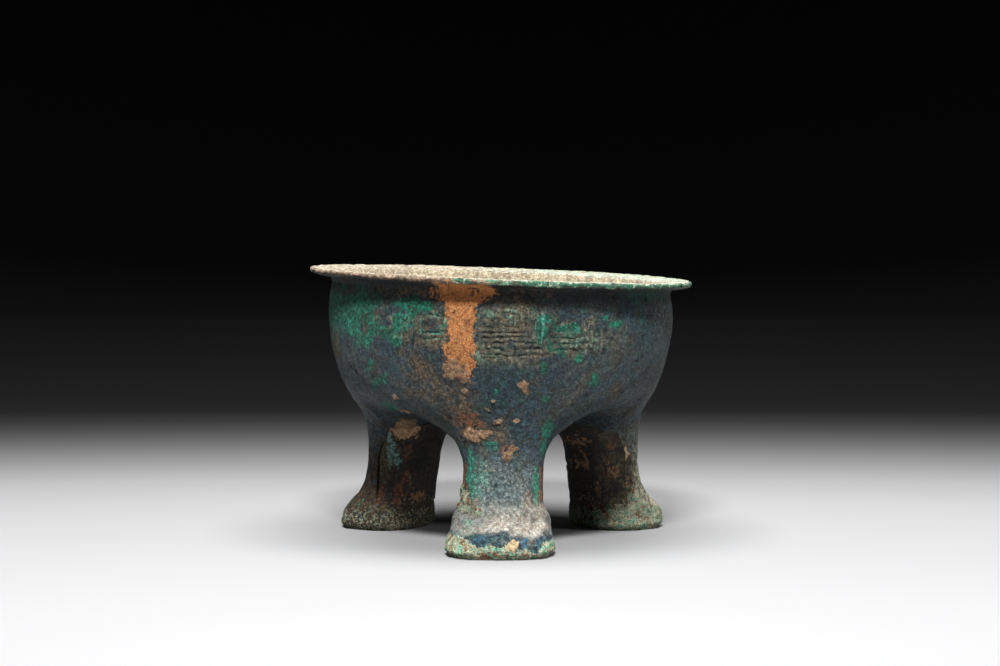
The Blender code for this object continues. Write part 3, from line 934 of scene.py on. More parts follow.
def leg_masks(points, facing, outer):
    x, y, z = 1000 * points.T
    front_leg = smoothstep(-y, 20, 32) * (np.abs(x) < 26)
    # A paler strip down the front leg is a painted highlight, and the paler lower right side of the bowl a painted
    # sheen.
    lit_front_strip = front_leg * smoothstep(z, 13, 18) * fade(z, 30, 46) * fade(np.abs(x - 1), 7, 15)
    outline = smoothstep(x, 56, 66) * smoothstep(z, 50, 66)
    back_legs = fade(z + 5 * rough_lumps(points, 0.010, 88), 22, 50) * smoothstep(y, -18, 2)
    seam = oval(points, -90, 50, 22, 5.5, 20, 0, -40, 20) + 0.15 * rough_lumps(points, 0.004, 47)
    seam = smoothstep(seam, 0.0, 0.6)
    brown = np.maximum(back_legs * (0.75 + 0.25 * rough_lumps(points, 0.005, 89)), 0.9 * seam)
    # The right leg's outer side, low down: tinted tan and painted lighter, as painted light.
    lit_leg = (1 - 0.8 * seam) * smoothstep(x, 41, 52)
    lit_leg *= (1 - 0.5 * smoothstep(z + 5 * rough_lumps(points, 0.007, 38), 18, 30)) * fade(z, 30, 48)
    return {
        # The legs' lower parts, which the material paints lighter: painted light.
        "lower": outer * fade(z, 16, 48),
        "pale": outer * np.maximum(lit_front_strip, 0.7 * outline),
        "umber": outer * brown,
        "crust": outer * crust_mask(points),
        "bloom": outer * front_leg * bloom_mask(points, facing),
        "tan": outer * lit_leg,
        # The front foot, which the material paints lighter: painted light.
        "foot_front": outer * front_leg * fade(z + 1.5 * rough_lumps(points, 0.004, 48), 9, 15),
    }


print("the ankle's crust is listed as", len(ANKLE_CRUST), "ovals")

# %% [markdown]
# Last come the band's grooves and their flanks, where pale dirt has settled, and the lower edge of each, which is
# painted pale as a painted highlight. One function then works out every mask for any points of the skin. It is used
# twice:
# before the relief, to know where crust and soil stand up, and on the finished mesh, to store the masks for the
# materials.


# %% Masks of the band, and all masks together
def band_masks(points, outer):
    band = outer * band_left(points)
    groove, ledge = np.zeros(len(points)), np.zeros(len(points))
    there = band > 0.02
    groove[there] = band[there] * groove_depth(points[there])
    # The lower edge of each groove, which faces up, is painted pale: a painted highlight.
    just_above = points[there] + (0, 0, 0.0008)
    ledge[there] = np.clip(band[there] * groove_depth(just_above) - groove[there], 0, 1)
    flank = 4 * groove * (1 - groove)
    return {
        "band": band,
        "groove": groove,
        "ledge": ledge,
        "eroded": outer * marks(points, ERODED, 0.003, 94, 0.9, 0.5),
        "flank": flank * smoothstep(band, 0.2, 0.7),
        "turquoise": flank * marks(points, TURQUOISE, 0.003, 98, 0.8, 0.6),
    }


def skin_masks(points, facing):
    inside, rim_top, rim_edge = regions(points, facing)
    outer = 1 - np.clip(inside + rim_top + rim_edge, 0, 1)
    under_rim = smoothstep(rim_level(points) + 1.2 * rough_lumps(points, 0.006, 99), 93.0, 98.0) * outer
    dusty = marks(points, DUST, 0.004, 84, 1.0, 0.8)
    # The neck under the rim is painted dark: painted shadow of the rim, with dark dirt.
    masks = {"inside": inside, "rim_top": rim_top, "rim_edge": rim_edge, "neck": under_rim * (1 - 0.75 * dusty)}
    masks.update(rim_masks(points, facing, rim_top, rim_edge))
    masks.update(deposit_masks(points, facing, outer, (1 - inside) * (1 - rim_top), under_rim, dusty))
    masks.update(leg_masks(points, facing, outer))
    masks.update(band_masks(points, outer))
    return masks


points, facing = positions(vessel.data), normals(vessel.data)
masks = skin_masks(points, facing)
for name, mask in masks.items():
    print(name, "covers", round(100 * float(mask.mean()), 1), "% of the points")

# %% [markdown]
# Relief is added along the normals, from large to small: the slow unevenness of a hand-made mould, corrosion lumps
# and pits, the band's grooves, and what is left of it where it is eroded. A Displace modifier could do one of these at
# a time, but all of them together in one array are quicker and easier to balance.

# %% Relief of the metal
GROOVE_DEPTH, RIM_LOSS, SOLE = 0.00062, 0.00042, 0.0002
level, radius = rim_level(points), 1000 * np.hypot(points[:, 0], points[:, 1])
grit = 0.00018 * rough_lumps(points, 0.0034, 22) + 0.00016 * rough_lumps(points, 0.0015, 23, 2)
small_pits = 0.00020 * smoothstep(lumps(points, 0.0015, 33), 0.55, 0.85)
pits = 0.00032 * smoothstep(lumps(points, 0.0024, 24), 0.45, 0.85) + small_pits
height = 0.00030 * lumps(points, 0.025, 21) + grit - pits
height -= GROOVE_DEPTH * masks["groove"] + masks["band"] * 0.00040 * patches(points, 0.0026, 25, 0.0, 0.4)
height += 0.00012 * masks["stria"]
height += masks["eroded"] * 0.00065 * patches(points, 0.0021, 37, -0.15, 0.45)
print("grooves", 1000 * GROOVE_DEPTH, "mm deep, pits up to", round(1000 * pits.max(), 2), "mm deep")

# %% [markdown]
# What lies on the metal has a thickness of its own: nodules in the crust, soil and its lumps, films of malachite, and
# earth on the rim's top. The front foot swells at its sides, where its hoof begins, and lumps sit just over the soles.

# %% Thickness of what lies on it
nodules = rough_lumps(points, 0.0015, 26)
crust_height = 0.00010 + 0.00050 * smoothstep(nodules, -0.1, 0.45) + 0.0004 * rough_lumps(points, 0.0045, 39)
height += masks["crust"] * crust_height
height += 0.00018 * masks["soil"] * (1 + 0.8 * lumps(points, 0.0016, 27))
height += masks["lump"] * 0.0011 * np.clip(0.5 + rough_lumps(points, 0.0024, 28), 0, 1)
height += masks["malachite"] * 0.00010 * (1 + lumps(points, 0.0015, 34))
height += masks["rim_top"] * 0.00022 * rough_lumps(points, 0.0014, 29)
height += ankle_crust(points) * 0.0012 * np.clip(0.4 + rough_lumps(points, 0.0022, 30), 0, 1)
low = points[:, 2] * 1000
on_front = smoothstep(-points[:, 1], 0.030, 0.040) * (np.abs(points[:, 0]) < 0.03)
sides = smoothstep(np.abs(points[:, 0] - 0.0005), 0.008, 0.016)
height += 0.0015 * on_front * sides * np.exp(-((low - 13.5) / 3.6) ** 2)
height += 0.0009 * patches(points, 0.0038, 35, -0.2, 0.5) * fade(low, 1.5, 5.0) * (1 - masks["inside"])
print("with what lies on it, it runs from", round(1000 * height.min(), 2), "to", round(1000 * height.max(), 2), "mm")

# %% [markdown]
# In some places the relief is held back. The soles stay flat on the floor, the bowl's inside is smoother than the rest,
# and the rim's edge only ever loses metal, so the vessel doesn't outgrow its frame. The feet are drawn in just above
# the floor, as worn feet are, which leaves a dark line under them.

# %% Where the relief is held back
height = np.where(points[:, 2] < SOLE, 0, height)
height *= 1 - 0.65 * masks["inside"] * (level < 92)
edge = smoothstep(radius, 73.0, 75.6) * smoothstep(level, 98.5, 99.5)
uneven = 1 + lumps(points, 0.0032, 31) + 0.9 * lumps(points, 0.0013, 32)
height = height * (1 - edge) - edge * RIM_LOSS * uneven
low_corner, high_corner = np.array(cad_box[0]), np.array(cad_box[1])
moved = np.clip(points + facing * height[:, None], low_corner, high_corner)

FOOT_WEAR = 0.085
worn = fade(points[:, 2], SOLE, 0.0026)
for leg in LEGS.values():
    of_leg = (seen_from(leg[0], points)[2] > 20) & (worn > 0)
    middle = points[of_leg & (points[:, 2] < SOLE)].mean(axis=0) * (1, 1, 0)
    moved[of_leg] -= (moved[of_leg] * (1, 1, 0) - middle) * FOOT_WEAR * worn[of_leg, None]
vessel.data.vertices.foreach_set("co", moved.ravel())
vessel.data.update()
print("relief from", round(1000 * height.min(), 2), "to", round(1000 * height.max(), 2), "mm")

# %% [markdown]
# A vertex group then says which points may be thinned out later: all but those of the front's band and foot, whose
# detail is the finest. An attribute keeps where the relief is hollow and where it stands up, for the material to paint
# shade into the hollows and a highlight onto the raised grit.

# %% Points to keep, and painted shade of the relief
fine_part = ((level > 72) & (level < 94)) | (points[:, 2] < 0.021)
keep = (seen_from(-90, points)[2] > 32) & fine_part & (masks["inside"] < 0.5)
free = vessel.vertex_groups.new(name="free to thin")
free.add(np.nonzero(~keep)[0].tolist(), 1.0, "REPLACE")
# Painted shade in the relief's pits and crust hollows, and painted highlight on its raised grit.
relief_shade = vessel.data.attributes.new("relief_shade", "FLOAT", "POINT")
sunk = (pits - grit) / 0.0003 + 0.8 * masks["crust"] * smoothstep(-nodules, -0.1, 0.4)
relief_shade.data.foreach_set("value", np.clip(0.5 + 0.5 * sunk, 0, 1).astype(np.float32))
print(int(keep.sum()), "points of the front are kept as they are")

# %% [markdown]
# Each leg is a half-round shell, open at the back, because the casting core was left in it. The opening is cut with a
# Boolean modifier by a slot whose sides are a little rough, so that the shell's lips come out ragged, as old thin
# metal is. The slot's ceiling is wavy and comes down at the corners, and at the left leg one lip stands open, which
# shows as a black gap. The Manifold solver is quick on meshes as dense as these, and needs closed ones, which they are.


# %% The slot's shape
def slot_outline(leg, z, gap, count=190):
    front, rear, half, _ = leg_size(min(max(z / WAIST_HEIGHT, 0.5), 1))
    lip = np.interp(z, (WAIST_HEIGHT, SLOT_CEILING), (LIP_REACH, LIP_REACH_AT_CEILING)) - gap
    rear_edge = np.interp(z, (WAIST_HEIGHT, SLOT_CEILING), (0.5 * WAIST_BACK, CEILING_BACK)) + gap
    centre, depth = (front + rear) / 2, (front - rear) / 2 - LEG_SHELL - gap
    first = math.acos(np.clip((lip - centre) / depth, -1, 1))
    angles = np.linspace(-first, first, 60)
    curve = np.stack([centre + depth * np.cos(angles), (half - LEG_SHELL - gap) * np.sin(angles)], -1)
    side = SLOT_HALF_WIDTH - gap
    one_half = [(rear_edge, 0), (rear_edge, -side), (lip, -side)]
    corners = np.array([*one_half, *curve, *[(x, -y) for x, y in one_half[::-1]]])
    corners += leg_shift(leg, max(1 - z / WAIST_HEIGHT, 0))
    along = np.concatenate([[0], np.cumsum(np.hypot(*np.diff(corners, axis=0).T))])
    even = np.arange(count) / count * along[-1]
    x, y = (np.interp(even, along, column) for column in corners.T)
    return np.stack([x, y, np.full(count, z)], -1)


def slot_skin(leg, narrowed, seed, wider=0.0):
    """The slot as loops. Its ceiling is wavy and comes down at the corners. Wider opens it at one lip, halfway up."""
    heights = np.linspace(SLOT_FLOOR + CORE_GAP, SLOT_CEILING - CORE_GAP, 64)
    rings = [slot_outline(leg, z, narrowed) for z in heights]
    lids = []
    for end in (rings[0], rings[-1]):
        z = end[0, 2]
        middle = np.array([np.interp(z, (WAIST_HEIGHT, SLOT_CEILING), (0.036, 0.034)), 0, z])
        lids.append([middle + (end - middle) * share for share in np.linspace(0.04, 0.96, 24)])
    loops = np.array(lids[0] + rings + lids[1][::-1])
    flat = loops.reshape(-1, 3)
    sideways = flat[:, 1] / 0.015
    drop = 0.0030 * np.minimum(np.abs(sideways), 1.3) ** 3 + 0.0006 * (1 + rough_lumps(flat * (1, 1, 0), 0.0060, 95))
    flat[:, 2] -= drop * smoothstep(flat[:, 2], 0.030, SLOT_CEILING)
    halfway_up = smoothstep(flat[:, 2], 0.010, 0.016) * fade(flat[:, 2], 0.030, 0.037)
    flat[:, 0] += wider * (halfway_up * smoothstep(sideways, 0.3, 0.8)) * (1 + 0.5 * lumps(flat, 0.004, seed))
    loops = turned(loops, leg)
    flat = loops.reshape(-1, 3)
    wave = np.stack([0.8 * rough_lumps(flat, 0.0075, 92 + i, 2) for i in range(3)], -1)
    return (flat + 0.0006 * wave * smoothstep(flat[:, 2], 0.011, 0.016)[:, None]).reshape(loops.shape)


print("a slot is a stack of loops of points:", slot_skin(LEGS["front"], CORE_GAP, 100).shape[:2])


# %% Carving and thinning
def carve(target, operation, cutter):
    modifier = target.modifiers.new(cutter.name, "BOOLEAN")
    modifier.operation = operation
    modifier.solver = "MANIFOLD"
    modifier.object = cutter


def thin_out(target, triangles, group=""):
    """Collapses the edges that matter least, in the group if one is named, down to about that many triangles."""
    bpy.context.view_layer.update()
    evaluated = target.evaluated_get(bpy.context.evaluated_depsgraph_get())
    before = sum(len(face.vertices) - 2 for face in evaluated.data.polygons)
    modifier = target.modifiers.new("thin out", "DECIMATE")
    modifier.ratio = min(1.0, triangles / before)
    modifier.vertex_group = group
    return before


def apply_all(target):
    evaluated = target.evaluated_get(bpy.context.evaluated_depsgraph_get())
    mesh = bpy.data.meshes.new_from_object(evaluated)
    target.modifiers.clear()
    target.data = mesh
    return mesh


# %% Cutting the slots
OPEN_LIP = {"front": 0.0, "right": 0.0, "left": 0.0011}
VESSEL_TRIANGLES, CORE_TRIANGLES = 196000, 22000


def block(name, loops):
    """A closed object of one stack of loops, with a face at each end."""
    return add_mesh(name, closed_mesh(name, [(loops, ("first", "last"))]))


cutters = []
for number, (name, leg) in enumerate(LEGS.items()):
    cutter = block(f"{name}_slot", slot_skin(leg, CORE_GAP - 0.00014, 100 + 10 * number, OPEN_LIP[name]))
    carve(vessel, "DIFFERENCE", cutter)
    cutters.append(cutter)
before = thin_out(vessel, VESSEL_TRIANGLES, "free to thin")
mesh = apply_all(vessel)
for cutter in cutters:
    bpy.data.objects.remove(cutter)
mesh.shade_smooth()
mesh.set_sharp_from_angle(angle=math.radians(62))
mesh.calc_loop_triangles()
print("vessel:", before, "triangles thinned to", len(mesh.loop_triangles))

# %% [markdown]
# The masks are worked out again for the finished points and stored on the mesh as named attributes. A material reads
# an attribute by its name, so every colour below lies exactly where the relief has it.

# %% Store the masks
def store(mesh, masks):
    for name, mask in masks.items():
        attribute = mesh.attributes.new(name, "FLOAT", "POINT")
        attribute.data.foreach_set("value", np.clip(mask, 0, 1).astype(np.float32))


final_masks = skin_masks(positions(mesh), normals(mesh))
store(mesh, final_masks)
print("stored on the vessel:", ", ".join(final_masks))

# %% [markdown]
# The casting cores are blocks of fired clay that fill the slots. Each is the slot's shape, a little smaller, cut off
# by the leg's own outline where the clay lies bare at the leg's back. The bare back is rough and pitted and swells
# slightly, so the gap at the shell's lips shows as a dark line.


# %% Casting cores
def leg_blank(leg, seed):
    w = PLACES_ROUND[::2]
    bare = np.clip(-np.cos(math.pi * w), 0, 1)
    loops = []
    for v in [*np.linspace(0.3, 1, 46), *np.linspace(1, 1.8, 44)[1:]]:
        places = np.full_like(w, v)
        loop = leg_point(leg, w, places)
        dents = 0.0005 * smoothstep(lumps(loop, 0.0030, seed + 5), 0.45, 0.8)
        swell = bare * (CORE_BULGE + (0.00040 * rough_lumps(loop, 0.0036, seed) - dents))
        loops.append(turned(loop + leg_normal(leg, w, places) * swell[:, None], leg))
    middles = [loops[0].mean(axis=0) + (0, 0, 0.004), loops[-1].mean(axis=0)]
    top = [middles[0] + (loops[0] - middles[0]) * share for share in np.linspace(0.04, 0.95, 16)]
    bottom = [middles[1] + (loops[-1] - middles[1]) * share for share in np.linspace(0.95, 0.04, 16)]
    return np.array([*top, *loops, *bottom])


CLAY_DRIP = [
    (-90, -44.2, 32.0, 1.6, 5.0, 0, -30, 60),
    (-90, -42.0, 29.5, 1.8, 3.4, 0, -30, 60),
    (-90, -44.8, 37.0, 1.2, 2.6, 0, -30, 60),
    (-90, 42.0, 46.5, 3.4, 2.0, 0, -30, 60),
]
CLAY_SPECKS = [
    (-90, 45.0, 24.0, 2.4, 2.6, 0, -30, 60),
    (-90, 37.0, 18.0, 2.0, 1.6, 0, -30, 60),
    (-90, 31.0, 36.0, 4.6, 2.4, 0, -30, 60),
    (-90, 32.0, 28.0, 3.0, 3.0, 0, -30, 60),
    (-90, -34.0, 13.0, 3.0, 3.4, 0, -30, 60),
]


def core_masks(points, seed):
    x, y, z = 1000 * points.T
    column = points * (1, 1, 0.16)
    # Where light falls on the cores: the front one and the back ones' outer sides. Their lighter clay there is painted
    # light.
    lit = np.where(y < -18, 0.9, smoothstep(np.abs(x) + 3 * rough_lumps(points, 0.006, seed + 44), 33, 44))
    stained = lit * fade(z, 30, 42) * (1 - 0.75 * smoothstep(x, 10, 20))
    return {
        "rust": stained * patches(column, 0.0035, seed + 40, -0.4, 0.3),
        "umber": np.clip(lit * (0.5 + 0.6 * rough_lumps(points, 0.006, seed + 45)), 0, 1),
        "patch": marks(points, CLAY_PATCH, 0.0030, seed + 41, 0.6, 0.25),
        "drip": 0.8 * marks(points, CLAY_DRIP, 0.0016, seed + 42, 1.1, 0.5),
        "specks": 0.7 * marks(points, CLAY_SPECKS, 0.0022, seed + 46, 1.2, 0.5),
        "crust": 0.4 * fade(z + 5 * rough_lumps(points, 0.005, seed + 43), 9, 17),
    }


cores = {}
for number, (name, leg) in enumerate(LEGS.items()):
    seed = 300 + 60 * number
    core = block(f"clay_core_{name}", slot_skin(leg, CORE_GAP, seed))
    blank = block(f"{name}_blank", leg_blank(leg, seed + 20))
    carve(core, "INTERSECT", blank)
    before = thin_out(core, CORE_TRIANGLES)
    core_mesh = apply_all(core)
    bpy.data.objects.remove(blank)
    core_mesh.shade_smooth()
    core_mesh.set_sharp_from_angle(angle=math.radians(50))
    core_mesh.calc_loop_triangles()
    store(core_mesh, core_masks(positions(core_mesh), seed))
    cores[name] = core
    print(core.name, before, "triangles thinned to", len(core_mesh.loop_triangles))

# %% [markdown]
# Colours are given as they look on a screen, from 0 to 255, which is how a maker matches them. Blender's
# sockets want light values, so one helper turns the first into the second. Another adds a node, sets its sockets by
# name and links whatever comes from another node, which keeps the cells below short.


# %% Helpers for materials
def shade(red, green, blue):
    screen = np.array([red, green, blue]) / 255
    light = np.where(screen <= 0.04045, screen / 12.92, ((screen + 0.055) / 1.055) ** 2.4)
    return (*(float(c) for c in light), 1.0)


def add_node(tree, kind, sockets=None, **settings):
    node = tree.nodes.new(kind)
    for name, value in settings.items():
        setattr(node, name, value)
    for name, value in (sockets or {}).items():
        if isinstance(value, bpy.types.NodeSocket):
            tree.links.new(value, node.inputs[name])
        else:
            node.inputs[name].default_value = value
    return node


def math_node(tree, operation, first, second=0.0):
    return add_node(tree, "ShaderNodeMath", {0: first, 1: second}, operation=operation).outputs[0]


def soft_step(tree, value, low, high):
    sockets = {"Value": value, "From Min": low, "From Max": high}
    return add_node(tree, "ShaderNodeMapRange", sockets, interpolation_type="SMOOTHSTEP").outputs["Result"]


print("cream on screen (226, 212, 184) is", [round(c, 3) for c in shade(226, 212, 184)[:3]], "in light values")

# %% [markdown]
# Three effects are used by both materials. Grain is fine roughness of a size, from many layers of noise. Mottle gives
# soft blotches, or with a high threshold separate specks. Ragged breaks up a stored mask, whose points are half a
# millimetre apart or more, with grain: where the mask is weak only a few specks show, and where it is strong only a few
# are missing, which is how films and crusts really end. Each is a node group, built once.


# %% Node groups
def new_group(name, **values):
    """A node group from a position and some values to a mask, and its inside's first and last node."""
    tree = bpy.data.node_groups.new(name, "ShaderNodeTree")
    tree.interface.new_socket("Position", in_out="INPUT", socket_type="NodeSocketVector")
    for socket, value in values.items():
        tree.interface.new_socket(socket, in_out="INPUT", socket_type="NodeSocketFloat").default_value = value
    tree.interface.new_socket("Mask", in_out="OUTPUT", socket_type="NodeSocketFloat")
    return tree, tree.nodes.new("NodeGroupInput"), tree.nodes.new("NodeGroupOutput")


def group_noise(tree, start, detail, roughness):
    """Noise at the group's position, in lumps of the group's size."""
    scale = math_node(tree, "DIVIDE", 1.0, start.outputs["Size"])
    sockets = {"Vector": start.outputs["Position"], "Scale": scale, "Detail": detail, "Roughness": roughness}
    return add_node(tree, "ShaderNodeTexNoise", sockets).outputs[0]


grain, start, end = new_group("grain", Size=0.001)
noise = group_noise(grain, start, 5.0, 0.68)
grain.links.new(soft_step(grain, noise, 0.39, 0.63), end.inputs["Mask"])

mottle, start, end = new_group("mottle", Size=0.004, Low=0.4, High=0.6)
noise = group_noise(mottle, start, 6.0, 0.66)
mottle.links.new(soft_step(mottle, noise, start.outputs["Low"], start.outputs["High"]), end.inputs["Mask"])

broken, start, end = new_group("ragged", Mask=0.0, Size=0.0008, Spread=0.6)
noise = group_noise(broken, start, 5.0, 0.7)
shift = math_node(broken, "MULTIPLY", math_node(broken, "SUBTRACT", noise, 0.5), start.outputs["Spread"])
reached = math_node(broken, "ADD", start.outputs["Mask"], math_node(broken, "MULTIPLY", shift, 3.0))
near_mask = soft_step(broken, start.outputs["Mask"], 0.0, 0.12)
broken.links.new(math_node(broken, "MULTIPLY", near_mask, soft_step(broken, reached, 0.34, 0.66)), end.inputs["Mask"])
print("node groups:", [group.name for group in bpy.data.node_groups])

# %% [markdown]
# A finish is painted in layers, from the metal's own patina up to the loose soil. Each layer is a dark and a light
# shade, mixed by the same grain that raises the surface, and a mask, and it may change how rough and how high the
# surface is. This small painter keeps the running colour, roughness and height, so that a material below reads as a
# list of layers.


# %% Painting in layers
class Painter:
    def __init__(self, name, dark, light, roughness, grain_size):
        self.material = bpy.data.materials.new(name)
        self.material.use_nodes = True
        self.tree = self.material.node_tree
        self.position = add_node(self.tree, "ShaderNodeTexCoord").outputs["Object"]
        stretch = {"Vector": self.position, "Scale": (1, 1, 0.35)}
        self.tall = add_node(self.tree, "ShaderNodeMapping", stretch).outputs[0]
        coarse = self.group("grain", Size=grain_size)
        fine = self.group("grain", Size=grain_size / 3.2)
        self.grain = self.mix_value(coarse, fine, 0.42)
        self.colour = self.mix(shade(*dark), shade(*light), self.grain)
        self.roughness = roughness
        self.height = 0.0

    def attribute(self, name):
        return add_node(self.tree, "ShaderNodeAttribute", attribute_name=name).outputs["Fac"]

    def stored(self, name, size=0.0010, spread=0.6, **sockets):
        return self.group("ragged", Mask=self.attribute(name), Size=size, Spread=spread, **sockets)

    def mottle(self, size, low, high, strength=None, **sockets):
        mask = self.group("mottle", Size=size, Low=low, High=high, **sockets)
        return mask if strength is None else self.times(mask, strength)

    def within(self, mask, size, low, high, strength=None, **sockets):
        """Mottle inside a mask only, which is either a stored mask's name or a node's socket."""
        mask = self.attribute(mask) if isinstance(mask, str) else mask
        return self.times(mask, self.mottle(size, low, high, strength, **sockets))

    def group(self, name, **sockets):
        sockets = {"Position": self.position, **sockets}
        return add_node(self.tree, "ShaderNodeGroup", sockets, node_tree=bpy.data.node_groups[name]).outputs[0]

    def times(self, first, second):
        return math_node(self.tree, "MULTIPLY", first, second)

    def layer(self, dark, light, mask, roughness=None, height=None):
        self.colour = self.mix(self.colour, self.mix(shade(*dark), shade(*light), self.grain), mask)
        if roughness is not None:
            self.roughness = self.mix_value(self.roughness, roughness, mask)
        if height is not None:
            self.height = self.mix_value(self.height, height, mask)

    def tone(self, mask, low, high):
        """Multiplies the colour by low where the mask is 0 and by high where it is 1."""
        factor = self.mix((low, low, low, 1), (high, high, high, 1), mask)
        self.colour = self.mix(self.colour, factor, 1.0, "MULTIPLY")

    def mix(self, under, over, mask, blend="MIX"):
        return self.mixed("RGBA", {0: mask, 6: under, 7: over}, 2, blend)

    def mix_value(self, under, over, mask):
        return self.mixed("FLOAT", {0: mask, 2: under, 3: over}, 0, "MIX")

    def mixed(self, kind, sockets, output, blend):
        return add_node(self.tree, "ShaderNodeMix", sockets, data_type=kind, blend_type=blend).outputs[output]

    def finish(self, grain_depth):
        """Links the layers to the shader. The grain that mixed the shades also raises the surface, as bump."""
        tree = self.tree
        shader = tree.nodes["Principled BSDF"]
        height = math_node(tree, "ADD", math_node(tree, "MULTIPLY", self.grain, grain_depth), self.height)
        bump = add_node(tree, "ShaderNodeBump", {"Height": height, "Distance": 1.0, "Strength": 1.0})
        tree.links.new(bump.outputs["Normal"], shader.inputs["Normal"])
        tree.links.new(self.colour, shader.inputs["Base Color"])
        tree.links.new(self.roughness, shader.inputs["Roughness"])
        return self.material


print("a painter keeps colour, roughness and height")

# %% [markdown]
# The bronze's patina is a dark slate grey that drifts to blue, brown and green. Brown earth clings to the backs of the
# legs, pale dirt to the band, and dust and rust to many small places.

# %% Patina of the bronze
bronze = Painter("patinated bronze", (3, 7, 10), (66, 92, 101), 0.5, 0.0012)
bronze.layer((5, 17, 25), (54, 88, 106), bronze.mottle(0.0080, 0.42, 0.58, 0.75), 0.52)
bronze.layer((18, 15, 11), (98, 86, 66), bronze.mottle(0.0090, 0.50, 0.62, 0.7), 0.65)
bronze.layer((5, 32, 30), (52, 112, 100), bronze.mottle(0.0075, 0.52, 0.64, 0.6), 0.6)
bronze.layer((3, 5, 7), (16, 20, 22), bronze.mottle(0.0016, 0.53, 0.63, 0.8), 0.6)
bronze.layer((14, 11, 7), (78, 62, 42), bronze.stored("umber", 0.0022, 1.0), 0.75)
bronze.layer((48, 46, 36), (158, 148, 122), bronze.within("band", 0.0040, 0.40, 0.58, 0.85), 0.6)
bronze.layer((50, 50, 44), (128, 126, 112), bronze.times(bronze.attribute("stria"), 0.32), 0.6)
bronze.layer((36, 29, 20), (150, 122, 90), bronze.within("dust", 0.0026, 0.38, 0.58), 0.8, 0.00003)
bronze.layer((58, 32, 20), (150, 98, 66), bronze.stored("rust", 0.0012, 1.3), 0.8, 0.00003)
print("the patina has", len(bronze.tree.nodes), "nodes")

# %% [markdown]
# Malachite is a bright green film that has run down in places, so its mask is stretched upwards, with lighter green
# powder in it. Azurite is its blue sister. A strip down the front leg is painted paler, as painted highlight, and the
# bowl's lower right side too, as painted sheen, and all of it is full of fine pale, rusty and green specks.

# %% Green, blue and specks
green = bronze.within(bronze.stored("malachite", 0.0014, 1.0, Position=bronze.tall), 0.0018, 0.32, 0.48)
bronze.layer((0, 44, 35), (24, 152, 120), green, 0.65, 0.00004)
bronze.layer((40, 140, 118), (100, 188, 162), bronze.within(green, 0.0013, 0.60, 0.68, 0.7), 0.7)
bronze.layer((12, 38, 54), (62, 108, 130), bronze.stored("azurite", 0.0011, 1.3), 0.7, 0.00004)
# Painted highlight down the front leg and painted sheen on the bowl's lower right side, with pale specks in them.
bronze.layer((62, 80, 82), (150, 164, 160), bronze.times(bronze.attribute("pale"), 0.5), 0.6)
bronze.layer((100, 98, 88), (206, 200, 184), bronze.within("pale", 0.0008, 0.54, 0.64, 0.8), 0.6, 0.00004)
bronze.layer((66, 74, 70), (168, 172, 160), bronze.mottle(0.0009, 0.60, 0.70, 0.45), 0.6, 0.00005)
rusty_specks = bronze.within(bronze.mottle(0.0014, 0.60, 0.69), 0.012, 0.46, 0.60, 0.35)
bronze.layer((70, 48, 34), (150, 106, 74), rusty_specks, 0.8, 0.00005)
green_specks = bronze.within(bronze.mottle(0.0016, 0.58, 0.66), 0.014, 0.44, 0.58, 0.9)
bronze.layer((10, 76, 62), (56, 150, 126), green_specks, 0.7, 0.00005)
bronze.layer((22, 66, 58), (156, 190, 164), bronze.within("eroded", 0.0016, 0.46, 0.57), 0.7)
print("with the green and the specks it has", len(bronze.tree.nodes), "nodes")

# %% [markdown]
# In the band, the grooves are darker at the bottom, with dirt and painted shade. Pale dirt lies on their flanks, the
# lower edge of each is painted pale as a painted highlight, and a few are filled with turquoise. Then the tone of the
# whole bronze is broken up once more, and the legs are painted lighter, as painted light.

# %% Grooves and tone
# Groove bottoms darkened: dirt and painted shade.
bronze.tone(bronze.attribute("groove"), 1.0, 0.66)
bronze.layer((66, 64, 52), (176, 168, 142), bronze.within("flank", 0.0030, 0.42, 0.56, 0.75), 0.7)
# Painted highlight on the lower edge of each groove.
bronze.layer((62, 60, 48), (160, 152, 128), bronze.within("ledge", 0.0034, 0.40, 0.58, 0.8), 0.7)
bronze.layer((24, 140, 122), (118, 210, 186), bronze.within("turquoise", 0.0030, 0.34, 0.50), 0.7, 0.00005)
bronze.tone(bronze.mottle(0.0013, 0.42, 0.60), 0.70, 1.22)
# Painted light: the legs' lower parts are lightened.
bronze.tone(bronze.attribute("lower"), 0.95, 1.6)
print("with the grooves it has", len(bronze.tree.nodes), "nodes")

# %% [markdown]
# On the front foot lies a chalky bloom, worn to brown in specks. The right leg's outer side is tinted tan and painted
# lighter, as painted light, and so is the front foot. The crust round the soles is a mixture: olive, with green, cream
# and rusty grains and dark pits between them.

# %% Feet
bronze.layer((136, 124, 106), (255, 248, 234), bronze.within("bloom", 0.0008, 0.20, 0.46), 0.8, 0.00004)
bronze.layer((88, 62, 44), (180, 146, 112), bronze.within("bloom", 0.0034, 0.52, 0.64, 0.7), 0.8)
# Tan tint and painted light on the right leg's outer side.
bronze.layer((100, 98, 72), (255, 252, 222), bronze.within("tan", 0.0026, 0.30, 0.60), 0.8, 0.00004)
bronze.tone(bronze.attribute("tan"), 1.0, 1.6)
crust = bronze.stored("crust", 0.0012, 1.0)
bronze.layer((58, 66, 52), (226, 226, 190), crust, 0.85, 0.00006)
bronze.layer((24, 98, 78), (150, 224, 190), bronze.within(crust, 0.0020, 0.49, 0.58, 0.9), 0.85)
bronze.layer((150, 130, 94), (255, 246, 220), bronze.within(crust, 0.0018, 0.55, 0.63, 0.9), 0.85)
bronze.layer((66, 40, 24), (184, 124, 74), bronze.within(crust, 0.0034, 0.54, 0.62, 0.9), 0.85)
bronze.layer((8, 12, 12), (44, 50, 42), bronze.within(crust, 0.0012, 0.56, 0.63, 0.85), 0.9, -0.00012)
# Painted light on the front foot.
bronze.tone(bronze.attribute("foot_front"), 1.0, 1.45)
bronze.layer((176, 144, 100), (250, 226, 182), bronze.stored("chip", 0.0008, 0.5), 0.8, 0.00006)
print("with the feet it has", len(bronze.tree.nodes), "nodes")
